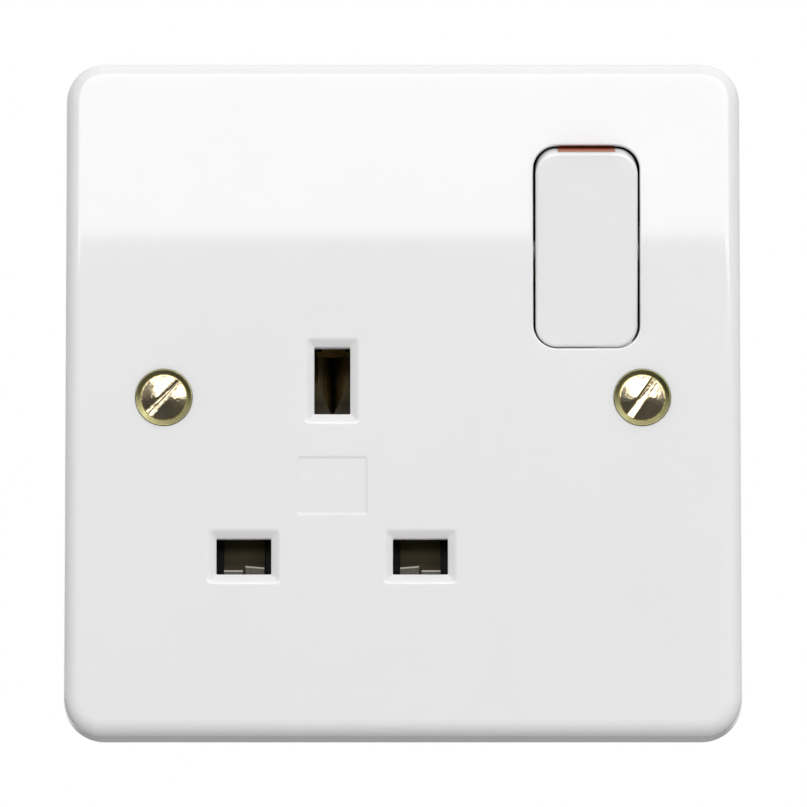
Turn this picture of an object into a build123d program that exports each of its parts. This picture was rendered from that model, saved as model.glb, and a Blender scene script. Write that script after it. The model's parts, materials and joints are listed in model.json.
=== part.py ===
from build123d import *
import math
import os

# A single 13 A switched socket outlet for a flush wall box, with the flat three-pin pattern.
# X points right as seen from the front, Z up and Y into the wall.
# The wall is the plane y = 0. The origin lies on it, midway between the fixing screws.

# Front plate
PLATE_WIDTH = 86.0
PLATE_HEIGHT = 86.0
PLATE_DEPTH = 9.0
PLATE_CORNER_R = 5.2
PLATE_EDGE_R = 2.0
PLATE_DRAFT = 3.0  # degrees
FACE_T = 3.0
RIM_T = 2.4
RIB_T = 1.2
RIB_PITCH = 16.0
RIB_SET = 2.0  # ribs behind the face end this far in front of the wall

# Pins of the plug, and the holes that take them
PIN_PITCH = 22.23  # line pin to neutral pin
EARTH_RISE = 22.23  # row of line and neutral pins to earth pin
PIN_W = 6.35
PIN_T = 3.97
EARTH_PIN_H = 7.92
PIN_LENGTH = 17.7
EARTH_PIN_LENGTH = 22.73
PIN_CLEAR = 0.29  # between a pin and its hole, on each side
EARTH_X = -8.93
EARTH_Z = 2.19
HOLE_R = 0.15
BEVEL_W = 1.05
BEVEL_DEPTH = 0.75
BEVEL_CORNER_R = 0.35
BEVEL_EDGE_R = 0.6

# Shallow panel in the face, under the earth hole
PANEL_W = 9.0
PANEL_H = 7.45
PANEL_R = 0.5
PANEL_DEPTH = 0.15
PANEL_SLOPE = 0.3  # width of the sloping edge
PANEL_DROP = 13.3  # from the earth hole's centre

# Rocker
ROCKER_X = 23.18
ROCKER_Z = 19.15
SLOT_W = 13.5
SLOT_H = 25.8
SLOT_R = 3.0
SLOT_EDGE_R = 0.2
SLOT_LIP = 1.0  # depth of the lip at the top of the opening, which is wider behind it
ROCKER_GAP = 0.3
ROCKER_TOP_GAP = 0.25  # round top end to the inner edge of the lip
ROCKER_TILT = 6.0  # degrees, each way from level
ROCKER_PROUD = 0.25  # face of the rocker in front of the plate when level
ROCKER_EDGE_R = 0.45
ROCKER_FRONT_T = 2.0
ROCKER_WALL = 1.8
PIVOT_DEPTH = 4.4  # pivot behind the face of the plate
SKIRT_DEPTH = 2.2  # rocker's skirt behind its pivot
TRUNNION_R = 1.3
EAR_T = 1.6
EAR_HALF = 3.2
EAR_SNAP_W = 2.1  # slot through which a trunnion snaps in
INDICATOR_W = 7.2
INDICATOR_LENGTH = 3.8
INDICATOR_T = 0.6

# Plunger in the rocker
PLUNGER_R = 2.0
PLUNGER_GAP = 0.15  # tip to contact arm, rocker level
PLUNGER_START = 1.8  # back end of the plunger behind the pivot
TUBE_WALL = 1.0
TUBE_REACH = 6.0  # end of the plunger's tube behind the pivot
PLUNGER_SPRING_R = 1.75
PLUNGER_SPRING_WIRE = 0.45

# Contact arm
ARM_THROW = 24.0  # degrees, from on to off
ARM_T = 0.8
ARM_W = 5.0
ARM_LENGTH = 8.2
HEEL_R = 1.2  # outside of the bend on which the arm rocks
TIP_RISE = 6.3  # silver tips above the fulcrum
TIP_R = 1.5
TIP_T = 0.9
TIP_GAP = 0.05
RIDGE_H = 0.8
BRACKET_T = 1.0
BRACKET_W = 4.2

# Fixing screws
FIXING_PITCH = 60.3
SCREW_R = 1.75
SHANK_R = 1.5  # plain neck under the head
SCREW_LENGTH = 25.0
SCREW_POINT = 0.6
HEAD_R = 3.6
HEAD_LAND = 0.3
HEAD_RING_W = 0.7
HEAD_RING_RISE = 0.1
HEAD_RAISE = 0.6
HEAD_SLOT_W = 1.15
HEAD_SLOT_DEPTH = 0.8
HEAD_SLOT_LEFT = 48.0  # degrees from level
HEAD_SLOT_RIGHT = 55.0
FIXING_BOSS_R = 4.3
FIXING_BOSS_SET = 1.0  # end of the boss in front of the wall
THREAD_SET = 0.3  # start of the thread in front of the wall

# Rear housing
HOUSING_WALL = 1.6
HOUSING_BACK_T = 1.8
HOUSING_CORNER_R = 1.6
HOUSING_EDGE = 0.8
HOUSING_STEP_Z = -12.0  # the housing is shallower below this level
LUG_NOTCH_X = 24.4  # housing's half width beside the lugs of the wall box
LUG_NOTCH_DEPTH = 3.6  # of the left notch
LUG_NOTCH_H = 17.0
PIN_END_CLEAR = 0.8
POST_W = 2.6
POST_H = 1.2  # under the strips in the shallow part
GUSSET_T = 1.4
GUSSET_LENGTH = 8.0
GUSSET_PITCH = 13.0
COLLAR_W = 0.9
COLLAR_H = 0.5

# Screws between housing and plate
TOWER_R = 3.9
TOWER_RIGHT_X = 17.0
TOWER_RIGHT_Z = -26.0
TOWER_LEFT_X = -22.6
TOWER_LEFT_Z = 13.9
PLATE_BOSS_R = 2.9
PLATE_BOSS_H = 3.5
TAP_R = 1.4
TAP_HEAD_R = 2.6
TAP_HEAD_H = 1.8
TAP_SEAT_Y = 8.0
TAP_SLOT_W = 0.9
TAP_SLOT_DEPTH = 0.8

# Terminals, in a row along the top
TERMINAL_PITCH = 10.3
TERMINAL_X = -21.0  # first terminal, for neutral
TERMINAL_W = 7.4
TERMINAL_H = 8.0
TERMINAL_FRONT_T = 1.1
TERMINAL_THREAD = 2.6
WIRE_R = 2.1
WIRE_Y = 6.8
WIRE_ENTRY_R = 2.6
WIRE_FLARE = 0.8
CLAMP_R = 2.0
CLAMP_HEAD_R = 2.8
CLAMP_HEAD_H = 2.0
CLAMP_TRAVEL = 2.4
CLAMP_SET = 0.15  # backed-out screw's tip behind the wire hole
CLAMP_HEAD_SET = 0.2  # head above the block when screwed in
CLAMP_SLOT_W = 0.9
CLAMP_SLOT_DEPTH = 1.0
BARRIER_T = 1.2
BARRIER_REACH = 0.6  # barrier in front of the terminals

# Pin contacts and their strips
STRIP_T = 0.8
STRIP_W = 3.0
LEAF_T = 0.7
LEAF_W = 6.0
LEAF_ROOT = 2.9  # half gap where a leaf starts
LEAF_FLARE = 3.1  # half gap at a leaf's mouth
LEAF_GRIP = 0.06  # between pin and leaf, with the leaves spread by the pin
LEAF_MOUTH_LENGTH = 2.8
LEAF_START = 1.6  # mouth of the leaves behind the shutter
EARTH_LEAF_H = 7.2
EARTH_WEB_RISE = 4.8  # top web above the earth pin's centre
NEUTRAL_RUN_X = -16.5
LINE_RUN_X = 19.6
LINE_RISE_X = 28.4
LINE_CROSS_Z = 12.0
STRAP_T = 0.6
STRAP_W = 4.0
STRAP_BEND_X = -15.4
STRAP_EYE_R = 4.0

# Shutter
SHUTTER_GAP = 0.25
SHUTTER_LEDGE = 0.6  # flat strip in front of a ramp
TOOTH_W = 2.4
TOOTH_T = 1.2
TOOTH_GAP = 0.3
TOOTH_LOW = 0.75  # low tooth above the edge of its hole
TOOTH_HIGH = 1.3
TOOTH_LEAN = 0.2  # fall along the top of the high tooth
TOOTH_EDGE_R = 0.25
SHUTTER_SIDE = 0.9  # cover beside a hole
SHUTTER_COVER = 0.6  # cover above a line or neutral hole
SHUTTER_RAMP = 57.0  # degrees
SHUTTER_BACK_T = 0.8
SHUTTER_FOOT = 2.4
SHUTTER_SILL = 0.6  # top of a ramp's wide foot below the edge of its hole
BAR_RISE = 1.0
BAR_T = 2.2
STEM_W = 4.4
STEM_T = 2.0
SPRING_BOX_W = 5.2
SPRING_BOX_T = 4.6
SPRING_R = 1.5
SPRING_WIRE = 0.4
SPRING_POCKET = 4.0
SPRING_SPIGOT_H = 1.5
FLOOR_ROOM = 1.5  # under the shutter when it is open

# Clearances
RUN_CLEAR = 0.05  # running fits
GUIDE_CLEAR = 0.25  # sliding guides
PART_CLEAR = 0.3  # between moving and fixed mouldings
SEAT_CLEAR = 0.02  # between pieces that lie on one another

# Planes and places that follow from the sizes above
FACE_Y = -PLATE_DEPTH
INNER_Y = FACE_Y + FACE_T
PIVOT_Y = FACE_Y + PIVOT_DEPTH
ROW_Z = EARTH_Z - EARTH_RISE
LINE_X = EARTH_X + PIN_PITCH / 2
NEUTRAL_X = EARTH_X - PIN_PITCH / 2
HOLE_W = PIN_W + 2 * PIN_CLEAR
HOLE_T = PIN_T + 2 * PIN_CLEAR
EARTH_HOLE_H = EARTH_PIN_H + 2 * PIN_CLEAR
FIXING_X = FIXING_PITCH / 2
FIXING_BOSS_Y = -FIXING_BOSS_SET

ROCKER_W = SLOT_W - 2 * ROCKER_GAP
ROCKER_FRONT = PIVOT_DEPTH + ROCKER_PROUD
ROCKER_BEND = INNER_Y - PIVOT_Y  # where the bottom end's slope meets its straight skirt
LIP_Y = FACE_Y + SLOT_LIP
ROCKER_TOP_R = math.hypot(SLOT_H / 2 - ROCKER_TOP_GAP, LIP_Y - PIVOT_Y)
LIP_STEP = ROCKER_TOP_R - SLOT_H / 2 + PART_CLEAR
EAR_X = SLOT_W / 2 + SEAT_CLEAR

SHUTTER_Y = INNER_Y + SHUTTER_GAP
SHUTTER_TRAVEL = HOLE_T + SHUTTER_COVER
RAMP_T = SHUTTER_LEDGE + SHUTTER_TRAVEL / math.tan(math.radians(SHUTTER_RAMP))
SHUTTER_WALL_Y = SHUTTER_Y + RAMP_T
SHUTTER_BACK_Y = SHUTTER_WALL_Y + SHUTTER_BACK_T
BAR_LOW_Z = ROW_Z - HOLE_T / 2 - SHUTTER_FOOT
BAR_HIGH_Z = ROW_Z + BAR_RISE
SPRING_Y = SHUTTER_Y + SPRING_BOX_T / 2

WEB_Y = FACE_Y + PIN_LENGTH + PIN_END_CLEAR
LEAF_Y = SHUTTER_BACK_Y + LEAF_START
GRIP = PIN_T / 2 + LEAF_GRIP
FULCRUM_Y = WEB_Y - 2 * TIP_T - TIP_GAP - HEEL_R
PLUNGER_REACH = FULCRUM_Y + HEEL_R - ARM_T - PLUNGER_GAP - PIVOT_Y
BRACKET_Y = FULCRUM_Y + HEEL_R + RUN_CLEAR + RIDGE_H
TIP_Z = ROCKER_Z + TIP_RISE

BACK_Y = FACE_Y + EARTH_PIN_LENGTH + PIN_END_CLEAR
REAR_Y = BACK_Y + HOUSING_BACK_T
LOW_BACK_Y = WEB_Y + STRIP_T + POST_H
LOW_REAR_Y = LOW_BACK_Y + HOUSING_BACK_T
INNER_TOP = ROCKER_Z + ROCKER_TOP_R + PART_CLEAR
INNER_RIGHT = ROCKER_X + EAR_X + EAR_T + PART_CLEAR
INNER_BOTTOM = BAR_LOW_Z - SHUTTER_TRAVEL - FLOOR_ROOM
HOUSING_LEFT = LUG_NOTCH_X + LUG_NOTCH_DEPTH
HOUSING_TOP = INNER_TOP + HOUSING_WALL
HOUSING_RIGHT = INNER_RIGHT + HOUSING_WALL
HOUSING_BOTTOM = INNER_BOTTOM - HOUSING_WALL
TOWERS = ((TOWER_RIGHT_X, TOWER_RIGHT_Z), (TOWER_LEFT_X, TOWER_LEFT_Z))
PLATE_BOSS_Y = INNER_Y + PLATE_BOSS_H

TERMINALS = {
    "neutral": TERMINAL_X,
    "earth_left": TERMINAL_X + TERMINAL_PITCH,
    "earth_right": TERMINAL_X + 2 * TERMINAL_PITCH,
    "line": TERMINAL_X + 3 * TERMINAL_PITCH,
}
TERMINAL_TOP = INNER_TOP - PART_CLEAR
TERMINAL_LOW = TERMINAL_TOP - TERMINAL_H
TERMINAL_Z = TERMINAL_TOP - TERMINAL_H / 2
TERMINAL_Y = WIRE_Y - WIRE_R - TERMINAL_FRONT_T
SHELF_Y = WIRE_Y + WIRE_R + TERMINAL_THREAD


def block(x0, x1, y0, y1, z0, z1):
    """A box between two corners."""
    middle = Pos((x0 + x1) / 2, (y0 + y1) / 2, (z0 + z1) / 2)
    return middle * Box(abs(x1 - x0), abs(y1 - y0), abs(z1 - z0))


def prism(profile, y0, y1):
    """A profile in X and Z, filled from y0 back to y1."""
    return extrude(Plane.XZ.offset(-y1) * profile, y1 - y0)


def prism_x(profile, x0, x1):
    """A profile in Y and Z, filled from x0 to x1."""
    return extrude(Plane.YZ.offset(x0) * profile, x1 - x0)


def prism_z(profile, z0, z1):
    """A profile in X and Y, filled from z0 up to z1."""
    return extrude(Plane.XY.offset(z0) * profile, z1 - z0)


def rod(x, z, r, y0, y1):
    """A round bar along Y."""
    return prism(Pos(x, z) * Circle(r), y0, y1)


def turned(outline, x, z):
    """A radius-and-Y outline, turned about the line along Y through x and z."""
    return Pos(x, 0, z) * revolve(make_face(outline), Axis.Y)


def run(points, width, y0, y1):
    """A flat strip along level and upright runs between points in X and Z."""
    strip = None
    for (xa, za), (xb, zb) in zip(points, points[1:]):
        across = abs(xb - xa) + width
        up = abs(zb - za) + width
        leg = prism(Pos((xa + xb) / 2, (za + zb) / 2) * Rectangle(across, up), y0, y1)
        strip = leg if strip is None else strip + leg
    return strip


def slotted(x, z, width, depth, top_y, length, angle):
    """The cut for a screwdriver slot in a head whose top is at top_y."""
    cut = block(-length, length, -depth, depth, -width / 2, width / 2)
    return Pos(x, top_y, z) * Rot(0, -angle, 0) * cut


def mouth(body, x, z, width, height):
    """Edges of the plate's face around an opening of a given place and size."""
    half_w = width / 2 + SEAT_CLEAR
    half_h = height / 2 + SEAT_CLEAR
    at_face = body.edges().group_by(Axis.Y)[0]
    return [e for e in at_face if abs(e.center().X - x) <= half_w and abs(e.center().Z - z) <= half_h]


def sunk(x, z, outer, inner, depth):
    """The cut for a hollow in the plate's face that narrows from an outer profile to an inner one."""
    top = Plane.XZ.offset(-FACE_Y) * Pos(x, z) * outer
    bottom = Plane.XZ.offset(-FACE_Y - depth) * Pos(x, z) * inner
    return loft([top.face(), bottom.face()], ruled=True)


def front_plate():
    body = extrude(Plane.XZ * RectangleRounded(PLATE_WIDTH, PLATE_HEIGHT, PLATE_CORNER_R), PLATE_DEPTH,
                   taper=PLATE_DRAFT)
    body = fillet(body.faces().sort_by(Axis.Y)[0].edges(), PLATE_EDGE_R)
    inside = RectangleRounded(PLATE_WIDTH - 2 * RIM_T, PLATE_HEIGHT - 2 * RIM_T, PLATE_CORNER_R - RIM_T / 2)
    body -= prism(inside, INNER_Y, 0)

    # pin holes with bevelled mouths
    for x, z, width, height in (
        (LINE_X, ROW_Z, HOLE_W, HOLE_T),
        (NEUTRAL_X, ROW_Z, HOLE_W, HOLE_T),
        (EARTH_X, EARTH_Z, HOLE_T, EARTH_HOLE_H),
    ):
        hole = RectangleRounded(width, height, HOLE_R)
        wide, high = width + 2 * BEVEL_W, height + 2 * BEVEL_W
        body -= prism(Pos(x, z) * hole, FACE_Y, INNER_Y)
        body -= sunk(x, z, RectangleRounded(wide, high, BEVEL_CORNER_R), hole, BEVEL_DEPTH)
        body = fillet(mouth(body, x, z, wide, high), BEVEL_EDGE_R)

    # rocker opening with a softened edge, and the shallow panel
    slot = Pos(ROCKER_X, ROCKER_Z) * RectangleRounded(SLOT_W, SLOT_H, SLOT_R)
    body -= prism(slot, FACE_Y, INNER_Y)
    body = fillet(mouth(body, ROCKER_X, ROCKER_Z, SLOT_W, SLOT_H), SLOT_EDGE_R)
    wide, high = SLOT_W + 2 * LIP_STEP, SLOT_H + 2 * LIP_STEP
    behind_lip = prism(Pos(ROCKER_X, ROCKER_Z) * RectangleRounded(wide, high, SLOT_R), LIP_Y, INNER_Y)
    ear_top = ROCKER_Z + EAR_HALF + PART_CLEAR
    body -= behind_lip & block(ROCKER_X - wide, ROCKER_X + wide, LIP_Y, INNER_Y, ear_top, ear_top + high)
    panel = RectangleRounded(PANEL_W, PANEL_H, PANEL_R)
    ground = RectangleRounded(PANEL_W - 2 * PANEL_SLOPE, PANEL_H - 2 * PANEL_SLOPE, PANEL_R - PANEL_SLOPE)
    body -= sunk(EARTH_X, EARTH_Z - PANEL_DROP, panel, ground, PANEL_DEPTH)

    # bosses for the fixing screws, each with a rib to the rim
    for side in (-1, 1):
        x = side * FIXING_X
        body += rod(x, 0, FIXING_BOSS_R, INNER_Y, FIXING_BOSS_Y)
        body += block(x, side * (PLATE_WIDTH / 2 - RIM_T), INNER_Y, FIXING_BOSS_Y, -RIB_T / 2, RIB_T / 2)
        hole_r = SCREW_R + GUIDE_CLEAR
        sink_r = HEAD_R + RUN_CLEAR
        sink_y = FACE_Y + HEAD_LAND
        sink_end = sink_y + sink_r - hole_r
        sink = Polyline(
            (0, FACE_Y), (sink_r, FACE_Y), (sink_r, sink_y), (hole_r, sink_end), (0, sink_end), close=True
        )
        body -= rod(x, 0, hole_r, FACE_Y, FIXING_BOSS_Y)
        body -= turned(sink, x, 0)

    # ribs between the rim and the housing
    for step in (-1.5, -0.5, 0.5, 1.5):
        at = step * RIB_PITCH
        for edge_z, side in ((HOUSING_TOP, 1), (HOUSING_BOTTOM, -1)):
            rim = side * (PLATE_HEIGHT / 2 - RIM_T)
            root = edge_z + side * PART_CLEAR
            body += block(at - RIB_T / 2, at + RIB_T / 2, INNER_Y, -RIB_SET, root, rim)
        for edge_x, side in ((HOUSING_RIGHT, 1), (-HOUSING_LEFT, -1)):
            rim = side * (PLATE_WIDTH / 2 - RIM_T)
            root = edge_x + side * PART_CLEAR
            body += block(root, rim, INNER_Y, -RIB_SET, at - RIB_T / 2, at + RIB_T / 2)

    # bosses for the housing's screws
    for x, z in TOWERS:
        body += rod(x, z, PLATE_BOSS_R, INNER_Y, PLATE_BOSS_Y)
        body -= rod(x, z, TAP_R + RUN_CLEAR, INNER_Y + PART_CLEAR, PLATE_BOSS_Y)

    # snap-in bearings for the rocker's trunnions
    for side in (-1, 1):
        x0 = ROCKER_X + side * EAR_X
        x1 = x0 + side * EAR_T
        end_y = PIVOT_Y + EAR_HALF
        ear = block(x0, x1, INNER_Y, end_y, ROCKER_Z - EAR_HALF, ROCKER_Z + EAR_HALF)
        middle = Pos((x0 + x1) / 2, PIVOT_Y, ROCKER_Z)
        hole = middle * Rot(0, 90, 0) * Cylinder(TRUNNION_R + RUN_CLEAR, 2 * EAR_T)
        way_in = block(x0, x1, PIVOT_Y, end_y, ROCKER_Z - EAR_SNAP_W / 2, ROCKER_Z + EAR_SNAP_W / 2)
        body += ear - hole - way_in

    # rails that guide the shutter's stem and stop its bar
    rail_low = BAR_HIGH_Z + GUIDE_CLEAR
    rail_high = EARTH_Z - EARTH_HOLE_H / 2 - SHUTTER_FOOT - SHUTTER_TRAVEL - PART_CLEAR
    for side in (-1, 1):
        x0 = EARTH_X + side * (STEM_W / 2 + GUIDE_CLEAR)
        body += block(x0, x0 + side * RIB_T, INNER_Y, SHUTTER_Y + STEM_T, rail_low, rail_high)
    return body


def fixing_screw(x, angle):
    top_y = FACE_Y - HEAD_RING_RISE
    neck_y = FACE_Y + HEAD_LAND + HEAD_R - SHANK_R
    end_y = FACE_Y + SCREW_LENGTH
    dome_r = HEAD_R - HEAD_RING_W
    crown_y = FACE_Y - HEAD_RAISE
    bow = (top_y - crown_y) * (1 - (dome_r / 2) ** 2 / dome_r**2)
    outline = Polyline(
        (dome_r, top_y),
        (HEAD_R, FACE_Y),
        (HEAD_R, FACE_Y + HEAD_LAND),
        (SHANK_R, neck_y),
        (SHANK_R, -THREAD_SET),
        (SCREW_R, -THREAD_SET),
        (SCREW_R, end_y - SCREW_POINT),
        (SCREW_R - SCREW_POINT, end_y),
        (0, end_y),
        (0, crown_y),
    ) + ThreePointArc((0, crown_y), (dome_r / 2, top_y - bow), (dome_r, top_y))
    screw = turned(outline, x, 0)
    return screw - slotted(x, 0, HEAD_SLOT_W, HEAD_SLOT_DEPTH, crown_y, 2 * HEAD_R, angle)


def fixing_screws():
    return Compound([
        fixing_screw(-FIXING_X, HEAD_SLOT_LEFT).solid(),
        fixing_screw(FIXING_X, HEAD_SLOT_RIGHT).solid(),
    ])


def rocker_top(y, inset):
    """Point of the top end at a distance y behind the pivot. The end is round about the pivot, so its gap
    stays the same as it tips."""
    return (y, math.sqrt((ROCKER_TOP_R - inset) ** 2 - y**2))


def rocker_bottom(y, inset):
    """Point of the bottom end at a distance y behind the pivot. The end leans by the tilt, so it stands
    parallel to its opening when pressed in, and runs out into a straight skirt behind the plate."""
    tilt = math.radians(ROCKER_TILT)
    reach = SLOT_H / 2 - ROCKER_GAP
    drop = (reach + min(y, ROCKER_BEND) * math.sin(tilt)) / math.cos(tilt)
    return (y, inset - drop)


def rocker_outline(front, back, inset):
    """The rocker's side view between two distances behind its pivot."""
    first = rocker_top(front, inset)
    last = rocker_top(back, inset)
    outline = ThreePointArc(first, rocker_top(ROCKER_BEND, inset), last)
    below = [rocker_bottom(y, inset) for y in (back, ROCKER_BEND, front)]
    return make_face(outline + Polyline(last, *below, first))


def on_side(piece):
    """Takes a piece drawn level about the rocker's pivot to its place, tipped to on."""
    return Pos(ROCKER_X, PIVOT_Y, ROCKER_Z) * Rot(ROCKER_TILT, 0, 0) * piece


def rocker_block():
    """The rocker's outside, level about its pivot."""
    body = prism_x(rocker_outline(-ROCKER_FRONT, SKIRT_DEPTH, 0), -ROCKER_W / 2, ROCKER_W / 2)
    corners = [e for e in body.edges() if abs((e @ 1 - e @ 0).Y) > SKIRT_DEPTH]
    body = fillet(corners, SLOT_R - ROCKER_GAP)
    return fillet(body.faces().sort_by(Axis.Y)[0].edges(), ROCKER_EDGE_R)


def indicator_box():
    """The part of the rocker's top end that the red insert takes up."""
    start = -ROCKER_FRONT + ROCKER_EDGE_R
    end = start + INDICATOR_LENGTH
    low = rocker_top(start, 0)[1] - INDICATOR_T
    return block(-INDICATOR_W / 2, INDICATOR_W / 2, start, end, low, ROCKER_TOP_R)


def rocker():
    body = rocker_block()
    ceiling = -ROCKER_FRONT + ROCKER_FRONT_T
    room = ROCKER_W / 2 - ROCKER_WALL
    body -= prism_x(rocker_outline(ceiling, SKIRT_DEPTH, ROCKER_WALL), -room, room)
    tube = Plane.XZ.offset(-TUBE_REACH) * Circle(PLUNGER_R + TUBE_WALL)
    body += extrude(tube, TUBE_REACH - ceiling)
    body += block(-room, room, ceiling, TRUNNION_R, -ROCKER_WALL / 2, ROCKER_WALL / 2)
    body -= extrude(Plane.XZ.offset(-TUBE_REACH) * Circle(PLUNGER_R + RUN_CLEAR), TUBE_REACH - ceiling)
    for side in (-1, 1):
        root = side * room
        end = side * (EAR_X + EAR_T)
        stub = Pos((root + end) / 2, 0, 0) * Rot(0, 90, 0) * Cylinder(TRUNNION_R, abs(end - root))
        body += stub
    return on_side(body - indicator_box())


def on_indicator():
    return on_side(rocker_block() & indicator_box())


def plunger():
    neck = PLUNGER_REACH - PLUNGER_R
    outline = Polyline((0, PLUNGER_REACH), (0, PLUNGER_START), (PLUNGER_R, PLUNGER_START), (PLUNGER_R, neck))
    round_off = math.sqrt(0.5) * PLUNGER_R
    outline += ThreePointArc((PLUNGER_R, neck), (round_off, neck + round_off), (0, PLUNGER_REACH))
    return on_side(revolve(make_face(outline), Axis.Y))


def coil_tube(r, wire, low, high):
    """The space that a coil spring fills, along Y."""
    ring = Circle(r) - Circle(r - wire)
    return extrude(Plane.XZ.offset(-high) * ring, high - low)


def plunger_spring():
    low = -ROCKER_FRONT + ROCKER_FRONT_T + SEAT_CLEAR
    return on_side(coil_tube(PLUNGER_SPRING_R, PLUNGER_SPRING_WIRE, low, PLUNGER_START - SEAT_CLEAR))


def moving_contact():
    """The arm in its on place: upper wing upright, lower wing tipped forward by the whole throw."""
    throw = math.radians(ARM_THROW)
    half = throw / 2
    inner_r = HEEL_R - ARM_T

    def heel(r, angle):
        return (r * math.cos(angle), -r * math.sin(angle))

    def wing_end(r):
        y, z = heel(r, throw)
        return (y - ARM_LENGTH * math.sin(throw), z - ARM_LENGTH * math.cos(throw))

    outline = Polyline(heel(inner_r, 0), (inner_r, ARM_LENGTH), (HEEL_R, ARM_LENGTH), heel(HEEL_R, 0))
    outline += ThreePointArc(heel(HEEL_R, 0), heel(HEEL_R, half), heel(HEEL_R, throw))
    outline += Polyline(heel(HEEL_R, throw), wing_end(HEEL_R), wing_end(inner_r), heel(inner_r, throw))
    outline += ThreePointArc(heel(inner_r, throw), heel(inner_r, half), heel(inner_r, 0))
    arm = prism_x(make_face(outline), -ARM_W / 2, ARM_W / 2)
    return Pos(ROCKER_X, FULCRUM_Y, ROCKER_Z) * arm


def moving_tip():
    start = FULCRUM_Y + HEEL_R
    return rod(ROCKER_X, TIP_Z, TIP_R, start, start + TIP_T)


def fixed_tip():
    return rod(ROCKER_X, TIP_Z, TIP_R, WEB_Y - TIP_T, WEB_Y)


def line_bracket():
    x = TERMINALS["line"]
    far_x = ROCKER_X + ARM_W / 2 - BRACKET_W / 2
    path = ((x, TERMINAL_LOW - BRACKET_W / 2), (x, ROCKER_Z), (far_x, ROCKER_Z))
    body = run(path, BRACKET_W, BRACKET_Y, BRACKET_Y + BRACKET_T)
    ridge = Pos(ROCKER_X, BRACKET_Y, ROCKER_Z) * Rot(0, 90, 0) * Cylinder(RIDGE_H, ARM_W)
    behind = block(-PLATE_WIDTH, PLATE_WIDTH, BRACKET_Y, REAR_Y, -PLATE_HEIGHT, PLATE_HEIGHT)
    return body + (ridge - behind)


def leaf_profile(start, end, root, side):
    """A sprung leaf as a depth-and-gap outline: flared mouth, pinch on the pin, root."""
    pinch = start + LEAF_MOUTH_LENGTH
    gaps = ((start, LEAF_FLARE), (pinch, GRIP), (end, root))
    inner = [(y, side * gap) for y, gap in gaps]
    outer = [(y, side * (gap + LEAF_T)) for y, gap in reversed(gaps)]
    return Polyline(*inner, *outer, close=True)


def pin_contact(x):
    """Back web and two leaves that grip a line or neutral pin from above and below."""
    high = LEAF_ROOT + LEAF_T
    body = block(x - LEAF_W / 2, x + LEAF_W / 2, WEB_Y, WEB_Y + STRIP_T, ROW_Z - high, ROW_Z + high)
    for side in (-1, 1):
        profile = make_face(leaf_profile(LEAF_Y, WEB_Y, LEAF_ROOT, side))
        body += Pos(0, 0, ROW_Z) * prism_x(profile, x - LEAF_W / 2, x + LEAF_W / 2)
    return body


def line_contact():
    path = (
        (LINE_X, ROW_Z),
        (LINE_RUN_X, ROW_Z),
        (LINE_RUN_X, LINE_CROSS_Z),
        (LINE_RISE_X, LINE_CROSS_Z),
        (LINE_RISE_X, TIP_Z),
        (ROCKER_X, TIP_Z),
    )
    return pin_contact(LINE_X) + run(path, STRIP_W, WEB_Y, WEB_Y + STRIP_T)


def neutral_contact():
    x = TERMINALS["neutral"]
    bar_z = TERMINAL_LOW - STRIP_W / 2
    path = ((NEUTRAL_X, ROW_Z), (NEUTRAL_RUN_X, ROW_Z), (NEUTRAL_RUN_X, bar_z), (x, bar_z))
    return pin_contact(NEUTRAL_X) + run(path, STRIP_W, WEB_Y, WEB_Y + STRIP_T)


def earth_contact():
    """Two leaves beside the earth pin, joined by a web above it, with a strap up to the earth terminals."""
    end = BACK_Y - PIN_END_CLEAR
    low = EARTH_Z - EARTH_LEAF_H / 2
    web_z = EARTH_Z + EARTH_WEB_RISE
    half = LEAF_ROOT + LEAF_T
    body = block(EARTH_X - half, EARTH_X + half, WEB_Y, end, web_z, web_z + STRIP_T)
    for side in (-1, 1):
        outline = Rot(0, 0, 90) * leaf_profile(LEAF_Y, end, LEAF_ROOT, -side)
        leaf = prism_z(make_face(outline), low, web_z + STRIP_T)
        body += Pos(EARTH_X, 0, 0) * leaf
    bar_z = TERMINAL_LOW - STRIP_W / 2
    bar = ((TERMINALS["earth_left"], bar_z), (TERMINALS["earth_right"], bar_z))
    stem = ((EARTH_X, web_z + STRIP_W / 2), (EARTH_X, bar_z))
    body += run(bar, STRIP_W, WEB_Y, WEB_Y + STRIP_T)
    return body + run(stem, STRIP_W, WEB_Y, WEB_Y + STRIP_T)


def earth_strap():
    """A strip from the left fixing screw, through the housing's side, to the earth contact."""
    y0 = FIXING_BOSS_Y
    y1 = y0 + STRAP_T
    z = STRAP_W / 2
    grip_y = LEAF_Y + LEAF_MOUTH_LENGTH
    spread = (LEAF_FLARE - GRIP) * STRAP_T / 2 / LEAF_MOUTH_LENGTH
    end_x = EARTH_X - GRIP - LEAF_T - spread - SEAT_CLEAR
    body = rod(-FIXING_X, 0, STRAP_EYE_R, y0, y1)
    body += block(-FIXING_X, STRAP_BEND_X, y0, y1, -z, z)
    body += block(STRAP_BEND_X - STRAP_T, STRAP_BEND_X, y0, grip_y + STRAP_T / 2, -z, z)
    body += block(STRAP_BEND_X - STRAP_T, end_x, grip_y - STRAP_T / 2, grip_y + STRAP_T / 2, -z, z)
    return body - rod(-FIXING_X, 0, SCREW_R + GUIDE_CLEAR, y0, y1)


def terminal(x):
    half = TERMINAL_W / 2
    body = block(x - half, x + half, TERMINAL_Y, SHELF_Y, TERMINAL_LOW, TERMINAL_TOP)
    body -= Pos(x, WIRE_Y, TERMINAL_Z) * Cylinder(WIRE_R, TERMINAL_H)
    return body - rod(x, TERMINAL_Z, CLAMP_R + RUN_CLEAR, WIRE_Y, SHELF_Y)


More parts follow.
